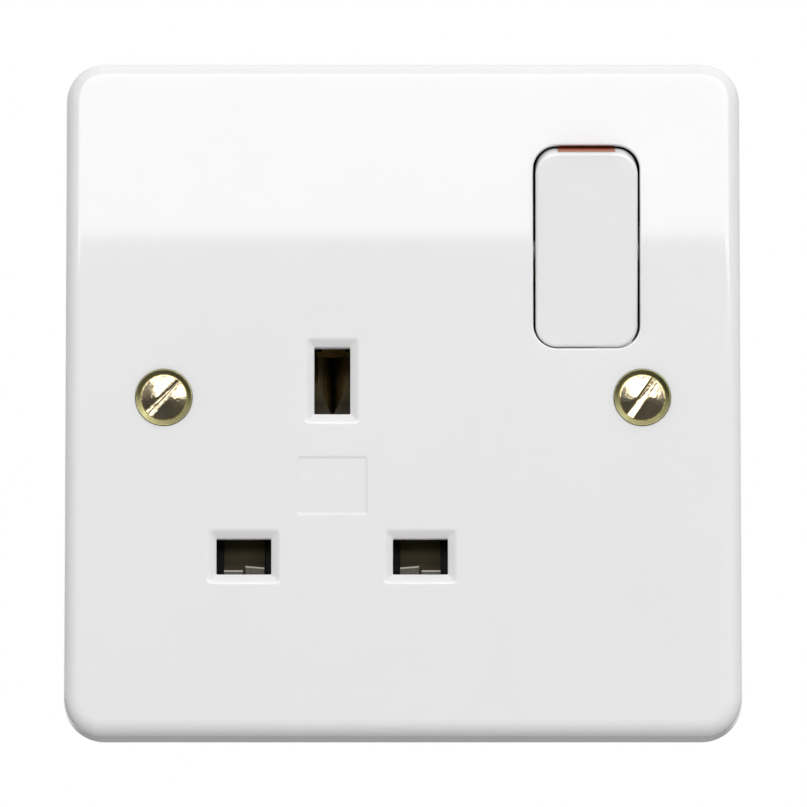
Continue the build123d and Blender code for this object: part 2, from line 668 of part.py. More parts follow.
def terminal_screw(x):
    tip_y = WIRE_Y + WIRE_R + CLAMP_SET
    seat_y = SHELF_Y + CLAMP_TRAVEL + CLAMP_HEAD_SET
    top_y = seat_y + CLAMP_HEAD_H
    body = rod(x, TERMINAL_Z, CLAMP_R, tip_y, seat_y) + rod(x, TERMINAL_Z, CLAMP_HEAD_R, seat_y, top_y)
    return body - slotted(x, TERMINAL_Z, CLAMP_SLOT_W, CLAMP_SLOT_DEPTH, top_y, 2 * CLAMP_HEAD_R, 0)


def housing_screw(x, z):
    tip_y = INNER_Y + PART_CLEAR + SEAT_CLEAR
    top_y = TAP_SEAT_Y + TAP_HEAD_H
    body = rod(x, z, TAP_R, tip_y, TAP_SEAT_Y) + rod(x, z, TAP_HEAD_R, TAP_SEAT_Y, top_y)
    return body - slotted(x, z, TAP_SLOT_W, TAP_SLOT_DEPTH, top_y, 2 * TAP_HEAD_R, 0)


def housing_screws():
    return Compound([housing_screw(x, z).solid() for x, z in TOWERS])


def housing_outline(inset, corner_r):
    """The housing seen from the front, cut in at both sides to clear the lugs of the wall box."""
    left, right = -HOUSING_LEFT + inset, HOUSING_RIGHT - inset
    low, high = HOUSING_BOTTOM + inset, HOUSING_TOP - inset
    notch_x = LUG_NOTCH_X - inset
    notch_z = LUG_NOTCH_H / 2 + inset
    corners = (
        (left, low),
        (right, low),
        (right, -notch_z),
        (notch_x, -notch_z),
        (notch_x, notch_z),
        (right, notch_z),
        (right, high),
        (left, high),
        (left, notch_z),
        (-notch_x, notch_z),
        (-notch_x, -notch_z),
        (left, -notch_z),
    )
    return make_face(FilletPolyline(*corners, radius=corner_r, close=True))


def below_step(y0, y1, rise):
    """Everything between two depths that lies below the housing's step, or a rise above it."""
    return block(-PLATE_WIDTH, PLATE_WIDTH, y0, y1, -PLATE_HEIGHT, HOUSING_STEP_Z + rise)


def housing_depth(z, deep, shallow):
    """The depth that holds at a level: one above the housing's step, another below it."""
    return deep if z > HOUSING_STEP_Z else shallow


def rear_housing():
    body = prism(housing_outline(0, HOUSING_CORNER_R), INNER_Y, REAR_Y)
    body -= below_step(LOW_REAR_Y, REAR_Y, 0)
    for rear in (REAR_Y, LOW_REAR_Y):
        at_rear = body.edges().filter_by_position(Axis.Y, rear - SEAT_CLEAR, rear + SEAT_CLEAR)
        on_step = at_rear.filter_by_position(Axis.Z, HOUSING_STEP_Z - SEAT_CLEAR, HOUSING_STEP_Z + SEAT_CLEAR)
        body = chamfer([e for e in at_rear if rear == REAR_Y or e not in on_step], HOUSING_EDGE)
    room = housing_outline(HOUSING_WALL, HOUSING_CORNER_R - HOUSING_WALL / 2)
    body -= prism(room, INNER_Y, LOW_BACK_Y)
    body -= prism(room, LOW_BACK_Y, BACK_Y) - below_step(LOW_BACK_Y, BACK_Y, HOUSING_WALL)

    # gussets that stiffen the step
    gusset = make_face(Polyline(
        (LOW_REAR_Y, HOUSING_STEP_Z),
        (REAR_Y - HOUSING_EDGE, HOUSING_STEP_Z),
        (LOW_REAR_Y, HOUSING_STEP_Z - GUSSET_LENGTH),
        close=True,
    ))
    middle = (HOUSING_RIGHT - HOUSING_LEFT) / 2
    for step in (-1.5, -0.5, 0.5, 1.5):
        x = middle + step * GUSSET_PITCH
        body += prism_x(gusset, x - GUSSET_T / 2, x + GUSSET_T / 2)

    # shelf behind the terminals, with barriers between them
    xs = list(TERMINALS.values())
    margin = TERMINAL_PITCH / 2
    body += block(xs[0] - margin, xs[-1] + margin, SHELF_Y, BACK_Y, TERMINAL_LOW, INNER_TOP)
    for x in [xs[0] - TERMINAL_PITCH, *xs]:
        x += margin
        y0 = TERMINAL_Y - BARRIER_REACH
        body += block(x - BARRIER_T / 2, x + BARRIER_T / 2, y0, BACK_Y, TERMINAL_LOW, INNER_TOP)

    # collars around the holes for the terminal screws
    screw_way = CLAMP_HEAD_R + PART_CLEAR
    for x in xs:
        body += rod(x, TERMINAL_Z, screw_way + COLLAR_W, BACK_Y, REAR_Y + COLLAR_H)

    # towers for the screws into the plate
    for x, z in TOWERS:
        body += rod(x, z, TOWER_R, PLATE_BOSS_Y, housing_depth(z, BACK_Y, LOW_BACK_Y))

    # posts under the strips of the contacts
    strip_back = WEB_Y + STRIP_T
    for x, z, top_y in (
        (LINE_X, ROW_Z, strip_back),
        (NEUTRAL_X, ROW_Z, strip_back),
        (LINE_RUN_X, ROW_Z, strip_back),
        (LINE_RUN_X, LINE_CROSS_Z, strip_back),
        (LINE_RISE_X, TIP_Z, strip_back),
        (ROCKER_X, TIP_Z, strip_back),
        (NEUTRAL_RUN_X, EARTH_Z, strip_back),
        (EARTH_X, TERMINAL_LOW - STRIP_W, strip_back),
        (ROCKER_X, ROCKER_Z, BRACKET_Y + BRACKET_T),
        (TERMINALS["line"], ROCKER_Z, BRACKET_Y + BRACKET_T),
    ):
        foot_y = housing_depth(z, BACK_Y, LOW_BACK_Y)
        body += block(x - POST_W / 2, x + POST_W / 2, top_y, foot_y, z - POST_W / 2, z + POST_W / 2)

    # spigot that holds the shutter's spring
    spigot_r = SPRING_R - SPRING_WIRE - PART_CLEAR / 2
    body += Pos(EARTH_X, SPRING_Y, INNER_BOTTOM + SPRING_SPIGOT_H / 2) * Cylinder(spigot_r, SPRING_SPIGOT_H)

    # screw holes, wire entries, room for the rocker's lower end and the way for the earth strap
    for x, z in TOWERS:
        body -= rod(x, z, TAP_R + GUIDE_CLEAR, PLATE_BOSS_Y, TAP_SEAT_Y)
        body -= rod(x, z, TAP_HEAD_R + PART_CLEAR, TAP_SEAT_Y, REAR_Y)
    for x in xs:
        body -= rod(x, TERMINAL_Z, screw_way, SHELF_Y, REAR_Y + COLLAR_H)
        body -= Pos(x, WIRE_Y, INNER_TOP + HOUSING_WALL / 2) * Cylinder(WIRE_ENTRY_R, HOUSING_WALL)
        flare = Cone(WIRE_ENTRY_R, WIRE_ENTRY_R + WIRE_FLARE, WIRE_FLARE)
        body -= Pos(x, WIRE_Y, HOUSING_TOP - WIRE_FLARE / 2) * flare
    swing = SLOT_H / 2 * math.sin(math.radians(ROCKER_TILT))
    swing_y = PIVOT_Y + SKIRT_DEPTH + swing + PART_CLEAR
    body -= block(
        ROCKER_X - SLOT_W / 2 - PART_CLEAR,
        HOUSING_RIGHT,
        INNER_Y,
        swing_y,
        ROCKER_Z - SLOT_H / 2 - PART_CLEAR,
        LUG_NOTCH_H / 2 + HOUSING_WALL,
    )
    strap_half = STRAP_W / 2 + PART_CLEAR
    body -= block(
        -HOUSING_LEFT,
        -LUG_NOTCH_X + 2 * HOUSING_WALL,
        INNER_Y,
        FIXING_BOSS_Y + STRAP_T + PART_CLEAR,
        -strap_half,
        strap_half,
    )
    return body


def ramp(x, width, cover, low):
    """A ramp of the shutter: a ledge level with its hole's lower edge, then the slope a pin pushes on.
    Its foot and the wall behind it are wider than the hole."""
    outline = Polyline(
        (SHUTTER_Y, low - SHUTTER_FOOT),
        (SHUTTER_Y, low),
        (SHUTTER_Y + SHUTTER_LEDGE, low),
        (SHUTTER_WALL_Y, low + SHUTTER_TRAVEL),
        (SHUTTER_BACK_Y, low + SHUTTER_TRAVEL),
        (SHUTTER_BACK_Y, low - SHUTTER_FOOT),
        close=True,
    )
    x0 = x - cover / 2
    x1 = x + cover / 2
    body = prism_x(make_face(outline), x - width / 2, x + width / 2)
    body += block(x0, x1, SHUTTER_WALL_Y, SHUTTER_BACK_Y, low - SHUTTER_FOOT, low + SHUTTER_TRAVEL)
    return body + block(x0, x1, SHUTTER_Y, SHUTTER_BACK_Y, low - SHUTTER_FOOT, low - SHUTTER_SILL)


def tooth(x, side, low, height, lean):
    """A stop on a ramp's ledge, beside the middle of its hole, with a rounded top that may fall away."""
    near = x + side * TOOTH_GAP / 2
    far = near + side * TOOTH_W
    top = low + height
    foot = low - SHUTTER_FOOT
    outline = Polyline((near, foot), (near, top), (far, top - lean), (far, foot), close=True)
    body = prism(make_face(outline), SHUTTER_Y, SHUTTER_Y + TOOTH_T)
    front = body.faces().sort_by(Axis.Y)[0]
    return fillet(front.edges().sort_by(Axis.Z)[-1], TOOTH_EDGE_R)


def shutter():
    row_low = ROW_Z - HOLE_T / 2
    earth_low = EARTH_Z - EARTH_HOLE_H / 2
    cover = HOLE_T + 2 * SHUTTER_SIDE
    body = ramp(EARTH_X, cover, cover, earth_low)
    notch_high = earth_low + SHUTTER_TRAVEL
    notch_half = HOLE_T / 2
    notch = Polyline(
        (EARTH_X, earth_low),
        (EARTH_X + notch_half, notch_high),
        (EARTH_X - notch_half, notch_high),
        close=True,
    )
    body -= prism(make_face(notch), SHUTTER_Y, SHUTTER_BACK_Y)
    width = 2 * TOOTH_W + TOOTH_GAP
    cover = HOLE_W + 2 * SHUTTER_SIDE
    for x, inward in ((LINE_X, -1), (NEUTRAL_X, 1)):
        body += ramp(x, width, cover, row_low)
        body += tooth(x, inward, row_low, TOOTH_HIGH, TOOTH_LEAN)
        body += tooth(x, -inward, row_low, TOOTH_LOW, 0)
    bar_y = SHUTTER_Y + BAR_T
    bar_set = (HOLE_W + SHUTTER_SIDE) / 2
    body += block(NEUTRAL_X + bar_set, LINE_X - bar_set, SHUTTER_Y, bar_y, BAR_LOW_Z, BAR_HIGH_Z)
    half = SPRING_BOX_W / 2
    body += block(EARTH_X - half, EARTH_X + half, SHUTTER_Y, SHUTTER_Y + SPRING_BOX_T, BAR_LOW_Z, BAR_HIGH_Z)
    half = STEM_W / 2
    stem_y = SHUTTER_Y + STEM_T
    body += block(EARTH_X - half, EARTH_X + half, SHUTTER_Y, stem_y, BAR_LOW_Z, earth_low)
    pocket_z = BAR_LOW_Z + SPRING_POCKET / 2
    return body - Pos(EARTH_X, SPRING_Y, pocket_z) * Cylinder(SPRING_R + GUIDE_CLEAR, SPRING_POCKET)


def shutter_spring():
    low = INNER_BOTTOM + SEAT_CLEAR
    high = BAR_LOW_Z + SPRING_POCKET - SEAT_CLEAR
    ring = Circle(SPRING_R) - Circle(SPRING_R - SPRING_WIRE)
    return prism_z(Pos(EARTH_X, SPRING_Y) * ring, low, high)


PIECES = {
    "front_plate": front_plate(),
    "fixing_screws": fixing_screws(),
    "rocker": rocker(),
    "on_indicator": on_indicator(),
    "plunger": plunger(),
    "plunger_spring": plunger_spring(),
    "moving_contact": moving_contact(),
    "moving_tip": moving_tip(),
    "fixed_tip": fixed_tip(),
    "line_bracket": line_bracket(),
    "line_contact": line_contact(),
    "neutral_contact": neutral_contact(),
    "earth_contact": earth_contact(),
    "earth_strap": earth_strap(),
    "line_terminal": terminal(TERMINALS["line"]),
    "neutral_terminal": terminal(TERMINALS["neutral"]),
    "earth_terminal_left": terminal(TERMINALS["earth_left"]),
    "earth_terminal_right": terminal(TERMINALS["earth_right"]),
    "line_screw": terminal_screw(TERMINALS["line"]),
    "neutral_screw": terminal_screw(TERMINALS["neutral"]),
    "earth_screw_left": terminal_screw(TERMINALS["earth_left"]),
    "earth_screw_right": terminal_screw(TERMINALS["earth_right"]),
    "rear_housing": rear_housing(),
    "housing_screws": housing_screws(),
    "shutter": shutter(),
    "shutter_spring": shutter_spring(),
}

os.makedirs("parts", exist_ok=True)
for name, piece in PIECES.items():
    export_step(piece, f"parts/{name}.step")
    print(name, "written")
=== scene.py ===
# %% [markdown]
# # A switched socket outlet
# This lesson dresses the CAD model of a one-gang switched socket: a glossy white plate with a
# rocker, three bevelled pin holes and two plated screws, on a dark rear housing. The CAD solids
# already have the right shapes, so most of them only need a finish. Screws, springs and the
# rocker's red strip are made again here, because threads, coils and a strip that stands a hair
# proud are too fine for CAD. Spring leaves in the earth contact and the terminal marks are added.

# %% Load the frame
import json
import math

import bmesh
import bpy
from mathutils import Euler, Matrix, Vector


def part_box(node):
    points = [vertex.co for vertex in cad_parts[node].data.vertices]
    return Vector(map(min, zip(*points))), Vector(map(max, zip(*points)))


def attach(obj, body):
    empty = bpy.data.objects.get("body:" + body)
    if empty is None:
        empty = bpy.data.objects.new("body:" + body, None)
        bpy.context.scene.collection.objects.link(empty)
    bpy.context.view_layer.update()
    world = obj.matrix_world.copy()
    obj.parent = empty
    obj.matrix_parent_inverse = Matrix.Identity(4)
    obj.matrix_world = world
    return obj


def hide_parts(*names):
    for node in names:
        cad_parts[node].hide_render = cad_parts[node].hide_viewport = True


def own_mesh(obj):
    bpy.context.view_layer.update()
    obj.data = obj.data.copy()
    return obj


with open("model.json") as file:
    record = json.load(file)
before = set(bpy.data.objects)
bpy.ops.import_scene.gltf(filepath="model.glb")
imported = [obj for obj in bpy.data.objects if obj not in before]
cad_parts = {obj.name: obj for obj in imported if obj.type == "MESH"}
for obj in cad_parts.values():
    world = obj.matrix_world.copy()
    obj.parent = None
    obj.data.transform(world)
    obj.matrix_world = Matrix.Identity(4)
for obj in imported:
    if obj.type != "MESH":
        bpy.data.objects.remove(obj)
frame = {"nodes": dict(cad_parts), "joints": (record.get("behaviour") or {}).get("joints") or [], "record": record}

MM = 0.001
scene = bpy.context.scene
scene.view_settings.view_transform = "Standard"
nodes = frame["nodes"]
joints = {joint["name"]: joint for joint in frame["joints"]}
slot_of = {row["node"]: row["material_slot"] for row in frame["record"]["subparts"]}
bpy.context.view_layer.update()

# %% [markdown]
# ## The camera
# The photograph was taken square on from a little below, with a long lens: the plate is hardly
# wider at the bottom than at the top. A long lens is a narrow angle from far away, so the camera
# stands 0.9 m off and its focal length fills the frame with the plate.

# %% Camera
VIEW_BELOW = math.radians(5.72)
VIEW_DISTANCE = 0.9
FOCAL_PIXELS = 7071
IMAGE_WIDTH = 807
AIM = Vector((0.00006, 0, 0.00014))

camera = bpy.data.objects.new("camera", bpy.data.cameras.new("camera"))
scene.collection.objects.link(camera)
scene.camera = camera
back = Vector((0, -math.cos(VIEW_BELOW), -math.sin(VIEW_BELOW)))
camera.location = AIM + VIEW_DISTANCE * back
camera.rotation_euler = (-back).to_track_quat("-Z", "Y").to_euler()
camera.data.lens = FOCAL_PIXELS * camera.data.sensor_width / IMAGE_WIDTH
print("camera lens", round(camera.data.lens, 1), "mm")

# %% [markdown]
# ## Node helpers
# Every finish is a small graph of shader nodes. A few helpers keep the graphs short: one empties
# a graph, one adds a node, sets its plain sockets and links the rest, and the others do sums, mix
# two colours, make noise with patches of a given size, and give a surface its texture and soft
# edges.

# %% Node helpers
BEVEL_SAMPLES = 6
MIX_A, MIX_B, MIX_OUT = 6, 7, 2


def new_tree(owner):
    owner.use_nodes = True
    owner.node_tree.nodes.clear()
    return owner.node_tree


def add(tree, kind, sockets=None, **settings):
    made = tree.nodes.new(kind)
    for key, value in settings.items():
        setattr(made, key, value)
    for key, value in (sockets or {}).items():
        if isinstance(value, bpy.types.NodeSocket):
            tree.links.new(value, made.inputs[key])
        else:
            made.inputs[key].default_value = value
    return made


def maths(tree, operation, first, second):
    return add(tree, "ShaderNodeMath", {0: first, 1: second}, operation=operation).outputs[0]


def mixed_tint(tree, factor, low, high, blend="MIX"):
    """Mixes two tints. Each is a colour or a socket."""
    sockets = {"Factor": factor}
    for key, tint in ((MIX_A, low), (MIX_B, high)):
        sockets[key] = tint if isinstance(tint, bpy.types.NodeSocket) else (*tint, 1)
    made = add(tree, "ShaderNodeMix", sockets, data_type="RGBA", blend_type=blend)
    return made.outputs[MIX_OUT]


def noise(tree, where, size, detail):
    sockets = {"Vector": where, "Scale": 1 / size, "Detail": detail}
    return add(tree, "ShaderNodeTexNoise", sockets).outputs[0]


def surface(tree, height, depth, edge):
    """A normal that rounds sharp edges and carries a fine texture."""
    rounded = add(tree, "ShaderNodeBevel", {"Radius": edge}, samples=BEVEL_SAMPLES)
    sockets = {"Height": height, "Distance": depth, "Normal": rounded.outputs[0]}
    return add(tree, "ShaderNodeBump", sockets).outputs[0]


print("node helpers ready")

# %% [markdown]
# ## Background and floor
# The photograph has a plain white ground. The world is white to the camera, and to reflections
# that look past the socket. To everything else it is a room that is dim low down in front, pale
# behind, brighter above and a little brighter on the right. A pale floor lies below and throws
# light back up. To the camera its top is as white as the ground behind, and its underside lets
# the camera see through, so the socket can be looked at from any side.

# %% World
ROOM_LOW = 0.1
ROOM_HIGH = 0.56
ROOM_BEHIND = 0.25
ROOM_LEAN = 0.35
ROOM_DARK_TO = -0.15
ROOM_BRIGHT_FROM = 0.5
HORIZON_SOFT = 0.09

world = bpy.data.worlds.new("studio")
scene.world = world
tree = new_tree(world)
way = add(tree, "ShaderNodeSeparateXYZ", {0: add(tree, "ShaderNodeTexCoord").outputs["Generated"]})
rise = add(tree, "ShaderNodeMapRange", {
    "Value": way.outputs["Z"],
    "From Min": ROOM_DARK_TO,
    "From Max": ROOM_BRIGHT_FROM,
    "To Min": ROOM_LOW,
    "To Max": ROOM_HIGH,
}, interpolation_type="SMOOTHSTEP")
behind = maths(tree, "GREATER_THAN", way.outputs["Y"], 0.0)
height = maths(tree, "MAXIMUM", rise.outputs[0], maths(tree, "MULTIPLY", behind, ROOM_BEHIND))
lean = maths(tree, "MULTIPLY", maths(tree, "MULTIPLY", way.outputs["X"], ROOM_LEAN), height)
strength = maths(tree, "ADD", height, lean)
room = add(tree, "ShaderNodeBackground", {"Color": (1, 1, 1, 1), "Strength": strength})
white = add(tree, "ShaderNodeBackground", {"Color": (1, 1, 1, 1), "Strength": 1.0})
path = add(tree, "ShaderNodeLightPath")
glossy, clear = path.outputs["Is Glossy Ray"], path.outputs["Is Transmission Ray"]
mirrored_ray = maths(tree, "MAXIMUM", glossy, clear)
level = add(tree, "ShaderNodeMapRange", {
    "Value": way.outputs["Z"],
    "From Min": -HORIZON_SOFT,
    "From Max": HORIZON_SOFT,
}, interpolation_type="SMOOTHSTEP")
past = maths(tree, "MULTIPLY", mirrored_ray, maths(tree, "MULTIPLY", behind, level.outputs[0]))
seen = maths(tree, "MAXIMUM", path.outputs["Is Camera Ray"], past)
shown = add(tree, "ShaderNodeMixShader", {0: seen, 1: room.outputs[0], 2: white.outputs[0]})
add(tree, "ShaderNodeOutputWorld", {"Surface": shown.outputs[0]})
print("world ready")

# %% Floor
FLOOR_Z = -0.5
FLOOR_SIZE = 1.2
FLOOR_TONE = (0.86, 0.9)
FLOOR_CLOUD_SIZE = 1 / 3
FLOOR_ROUGHNESS = 0.8

shape = bmesh.new()
lowered = Matrix.Translation((0, 0, FLOOR_Z))
bmesh.ops.create_grid(shape, x_segments=1, y_segments=1, size=FLOOR_SIZE / 2, matrix=lowered)
mesh = bpy.data.meshes.new("floor")
shape.to_mesh(mesh)
shape.free()
floor = bpy.data.objects.new("floor", mesh)
scene.collection.objects.link(floor)
paint = bpy.data.materials.new("pale_floor")
mesh.materials.append(paint)
tree = new_tree(paint)
where = add(tree, "ShaderNodeTexCoord").outputs["Object"]
tone = add(tree, "ShaderNodeMapRange", {
    "Value": noise(tree, where, FLOOR_CLOUD_SIZE, detail=2.0),
    "To Min": FLOOR_TONE[0],
    "To Max": FLOOR_TONE[1],
})
top = add(tree, "ShaderNodeBsdfPrincipled", {
    "Base Color": tone.outputs[0],
    "Roughness": FLOOR_ROUGHNESS,
})
ground = add(tree, "ShaderNodeEmission", {"Color": (1, 1, 1, 1), "Strength": 1.0})
to_camera = add(tree, "ShaderNodeLightPath").outputs["Is Camera Ray"]
above = add(tree, "ShaderNodeMixShader", {0: to_camera, 1: top.outputs[0], 2: ground.outputs[0]})
under = add(tree, "ShaderNodeBsdfTransparent")
from_below = add(tree, "ShaderNodeNewGeometry").outputs["Backfacing"]
shown = add(tree, "ShaderNodeMixShader", {0: from_below, 1: above.outputs[0], 2: under.outputs[0]})
add(tree, "ShaderNodeOutputMaterial", {"Surface": shown.outputs[0]})
floor.visible_glossy = False
print("floor at", FLOOR_Z, "m")

# %% [markdown]
# ## Lights
# One large softbox stands above the camera. Its lower edge shows in the glossy plate as the level
# line between the bright upper part and the plain white below it, so the softbox is placed by
# following that reflection: a mirrored camera looks through the line on the plate and meets the
# softbox's edge.

# %% Lights
SOFTBOX_X = 0.13
SOFTBOX_Y = -1.2
SOFTBOX_W = 1.45
SOFTBOX_H = 0.88
SOFTBOX_POWER = 16.0
SHINE_Z = 0.0204

face_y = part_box("front_plate")[0].y
mirrored = Vector((0, 2 * face_y - camera.location.y, camera.location.z))
climb = (SHINE_Z - mirrored.z) / (mirrored.y - face_y)
softbox_low = SHINE_Z + (face_y - SOFTBOX_Y) * climb
softbox_z = softbox_low + SOFTBOX_H / 2
lamp = bpy.data.lights.new("softbox", "AREA")
lamp.shape = "RECTANGLE"
lamp.size, lamp.size_y = SOFTBOX_W, SOFTBOX_H
lamp.energy = SOFTBOX_POWER
softbox = bpy.data.objects.new("softbox", lamp)
scene.collection.objects.link(softbox)
softbox.location = (SOFTBOX_X, SOFTBOX_Y, softbox_z)
softbox.rotation_euler = Vector((0, -SOFTBOX_Y, 0)).to_track_quat("-Z", "Y").to_euler()
softbox.visible_camera = False
print("softbox from", round(softbox_low, 3), "m up")

# %% [markdown]
# ## Mouldings
# The plate, rocker and housing are moulded plastic. Such a surface is never one flat colour: the
# melt leaves faint clouds, the polish varies a little, and the mould's own texture shows in the
# gloss. One function makes them all from a colour, a gloss and a texture. A Bevel node rounds
# sharp edges in the light, as the mould's small radii do. A mould is polished where the piece
# shows, so the insides of the plate's openings stay matt; they are also painted a little darker
# grey, as painted shade. Around the pin holes, where the wall is thin, light soaks through it.

# %% Matt insides
POLISH_DEPTH = 0.25 * MM
LIP_POLISH_DEPTH = 0.06 * MM
LIP_X = 14 * MM
POLISH_BORDER = 39 * MM
THIN_DEPTH = 0.8 * MM


def inside_plate(tree, where):
    """Two masks: the matt insides of the plate's openings, also painted darker as painted shade, and the thin
    walls of its pin holes.
    """
    at = add(tree, "ShaderNodeSeparateXYZ", {0: where})
    spread = [maths(tree, "ABSOLUTE", at.outputs[axis], 0.0) for axis in ("X", "Z")]
    near = maths(tree, "LESS_THAN", maths(tree, "MAXIMUM", *spread), POLISH_BORDER)
    pins = maths(tree, "LESS_THAN", at.outputs["X"], LIP_X)
    depth = maths(tree, "SUBTRACT", at.outputs["Y"], face_y)
    deep = maths(tree, "GREATER_THAN", depth, POLISH_DEPTH)
    # The lip of the rocker's opening is shallower: deep enough, and not on the side of the pins.
    past_lip = maths(tree, "GREATER_THAN", depth, LIP_POLISH_DEPTH)
    deep = maths(tree, "MAXIMUM", deep, maths(tree, "GREATER_THAN", past_lip, pins))
    thin = maths(tree, "MULTIPLY", pins, maths(tree, "GREATER_THAN", depth, THIN_DEPTH))
    return maths(tree, "MULTIPLY", near, deep), maths(tree, "MULTIPLY", near, thin)


print("openings are matt from", round(POLISH_DEPTH / MM, 2), "mm inwards")

# %% Mouldings
MATT = 1.0
# Painted shade: the insides of the plate's openings are painted this darker grey.
INSIDE_SHADE_TONE = (0.80, 0.80, 0.795)
CLOUD_DARK = 0.96
POLISH_SPREAD = 0.2
UREA_GLOW = (1.0, 0.95, 0.85)
UREA_GLOW_REACH = 2 * MM
UREA_IOR = 1.46


def moulding(
    name, colour, roughness, cloud_size, grain_size, grain_depth, edge, soft=0.0, matt_and_shaded_inside=False
):
    """A moulded plastic. Soft is the share of light that soaks in."""
    made = bpy.data.materials.new(name)
    tree = new_tree(made)
    where = add(tree, "ShaderNodeTexCoord").outputs["Object"]
    cloud = noise(tree, where, cloud_size, detail=3.0)
    tint = mixed_tint(tree, cloud, [CLOUD_DARK * c for c in colour], colour)
    grain = noise(tree, where, grain_size, detail=2.0)
    polish = add(tree, "ShaderNodeMapRange", {
        "Value": cloud,
        "To Min": (1 - POLISH_SPREAD) * roughness,
        "To Max": (1 + POLISH_SPREAD) * roughness,
    }).outputs[0]
    if matt_and_shaded_inside:
        inside, thin = inside_plate(tree, where)
        polish = maths(tree, "MAXIMUM", polish, maths(tree, "MULTIPLY", inside, MATT))
        soft = maths(tree, "MAXIMUM", thin, soft)
        # Painted shade: the insides of the openings are mixed towards a darker grey.
        tint = mixed_tint(tree, inside, tint, INSIDE_SHADE_TONE)
    skin = add(tree, "ShaderNodeBsdfPrincipled", {
        "Base Color": tint,
        "Roughness": polish,
        "Normal": surface(tree, grain, grain_depth, edge),
        "Subsurface Weight": soft,
        "Subsurface Radius": UREA_GLOW,
        "Subsurface Scale": UREA_GLOW_REACH,
        "IOR": UREA_IOR,
    })
    add(tree, "ShaderNodeOutputMaterial", {"Surface": skin.outputs[0]})
    return made


print("moulding ready")

# %% Moulded finishes
finishes = {
    "white_moulding": moulding(
        "white_urea",
        colour=(0.86, 0.86, 0.86),
        roughness=0.03,
        cloud_size=18 * MM,
        grain_size=5 * MM,
        grain_depth=0.0004 * MM,
        edge=0.08 * MM,
        soft=0.3,
        matt_and_shaded_inside=True,
    ),
    "rocker_white": moulding(
        "rocker_urea",
        colour=(0.88, 0.88, 0.88),
        roughness=0.06,
        cloud_size=14 * MM,
        grain_size=4 * MM,
        grain_depth=0.0004 * MM,
        edge=0.08 * MM,
        soft=0.3,
    ),
    "dark_moulding": moulding(
        "dark_housing",
        colour=(0.09, 0.06, 0.034),
        roughness=0.42,
        cloud_size=9 * MM,
        grain_size=0.12 * MM,
        grain_depth=0.006 * MM,
        edge=0.2 * MM,
    ),
    "plunger_nylon": moulding(
        "nylon",
        colour=(0.76, 0.74, 0.67),
        roughness=0.4,
        cloud_size=3 * MM,
        grain_size=0.2 * MM,
        grain_depth=0.002 * MM,
        edge=0.1 * MM,
        soft=0.2,
    ),
}
print("mouldings", list(finishes))

# %% [markdown]
# ## Pieces whose tone follows their depth
# Two pieces change tone from front to back. The shutter is dark brown. The front faces of its
# small stops are painted lighter as painted light, their rounded top edges paler still as a
# painted highlight, and the deepest part of its slope lighter again as painted light. The red
# insert is paler at the front as painted light, and darker deep inside the opening as painted
# shade. A colour ramp along Y, in the piece's own coordinates, holds each row of tones, and a fine
# noise shifts the steps a little so that they aren't ruled lines. The shutter is also painted
# darker towards its top, as painted shade where little light reaches it.

# %% Tones by depth
DEPTH_GRAIN_RISE = 0.004 * MM
DEPTH_EDGE = 0.06 * MM
INSERT_GLOW = (1.0, 0.25, 0.15)
INSERT_GLOW_REACH = 1.5 * MM
# Painted shade: the shutter darkens towards its top over this reach.
SHUTTER_DARK_REACH = 5 * MM
SHUTTER_DARKEST = 0.3


def depth_finish(name, node, tones, roughness, shine, soft, grain_size, ragged, dark_to=None):
    """A moulding with tones at depths behind a node's front, which may darken up to a height."""
    made = bpy.data.materials.new(name)
    tree = new_tree(made)
    low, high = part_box(node)
    reach = high.y - low.y
    where = add(tree, "ShaderNodeTexCoord").outputs["Object"]
    grain = noise(tree, where, grain_size, detail=3.0)
    shift = add(tree, "ShaderNodeMapRange", {"Value": grain, "To Min": -ragged, "To Max": ragged})
    at = add(tree, "ShaderNodeSeparateXYZ", {0: where})
    depth = maths(tree, "ADD", at.outputs["Y"], shift.outputs[0])
    place = add(tree, "ShaderNodeMapRange", {
        "Value": depth,
        "From Min": low.y,
        "From Max": high.y,
    })
    ramp = add(tree, "ShaderNodeValToRGB", {0: place.outputs[0]})
    stops = ramp.color_ramp.elements
    while len(stops) < len(tones):
        stops.new(1.0)
    for stop, (inward, tone) in zip(stops, tones):
        stop.position = inward / reach
        stop.color = (*tone, 1)
    tint = ramp.outputs[0]
    # Painted shade: the tones darken towards the given height.
    if dark_to is not None:
        shade = add(tree, "ShaderNodeMapRange", {
            "Value": at.outputs["Z"],
            "From Min": dark_to - SHUTTER_DARK_REACH,
            "From Max": dark_to,
            "To Min": 1.0,
            "To Max": SHUTTER_DARKEST,
        })
        tint = mixed_tint(tree, 1.0, tint, shade.outputs[0], "MULTIPLY")
    skin = add(tree, "ShaderNodeBsdfPrincipled", {
        "Base Color": tint,
        "Roughness": roughness,
        "Normal": surface(tree, grain, DEPTH_GRAIN_RISE, DEPTH_EDGE),
        "Specular IOR Level": shine,
        "Subsurface Weight": soft,
        "Subsurface Radius": INSERT_GLOW,
        "Subsurface Scale": INSERT_GLOW_REACH,
    })
    add(tree, "ShaderNodeOutputMaterial", {"Surface": skin.outputs[0]})
    return made


print("tones by depth ready")
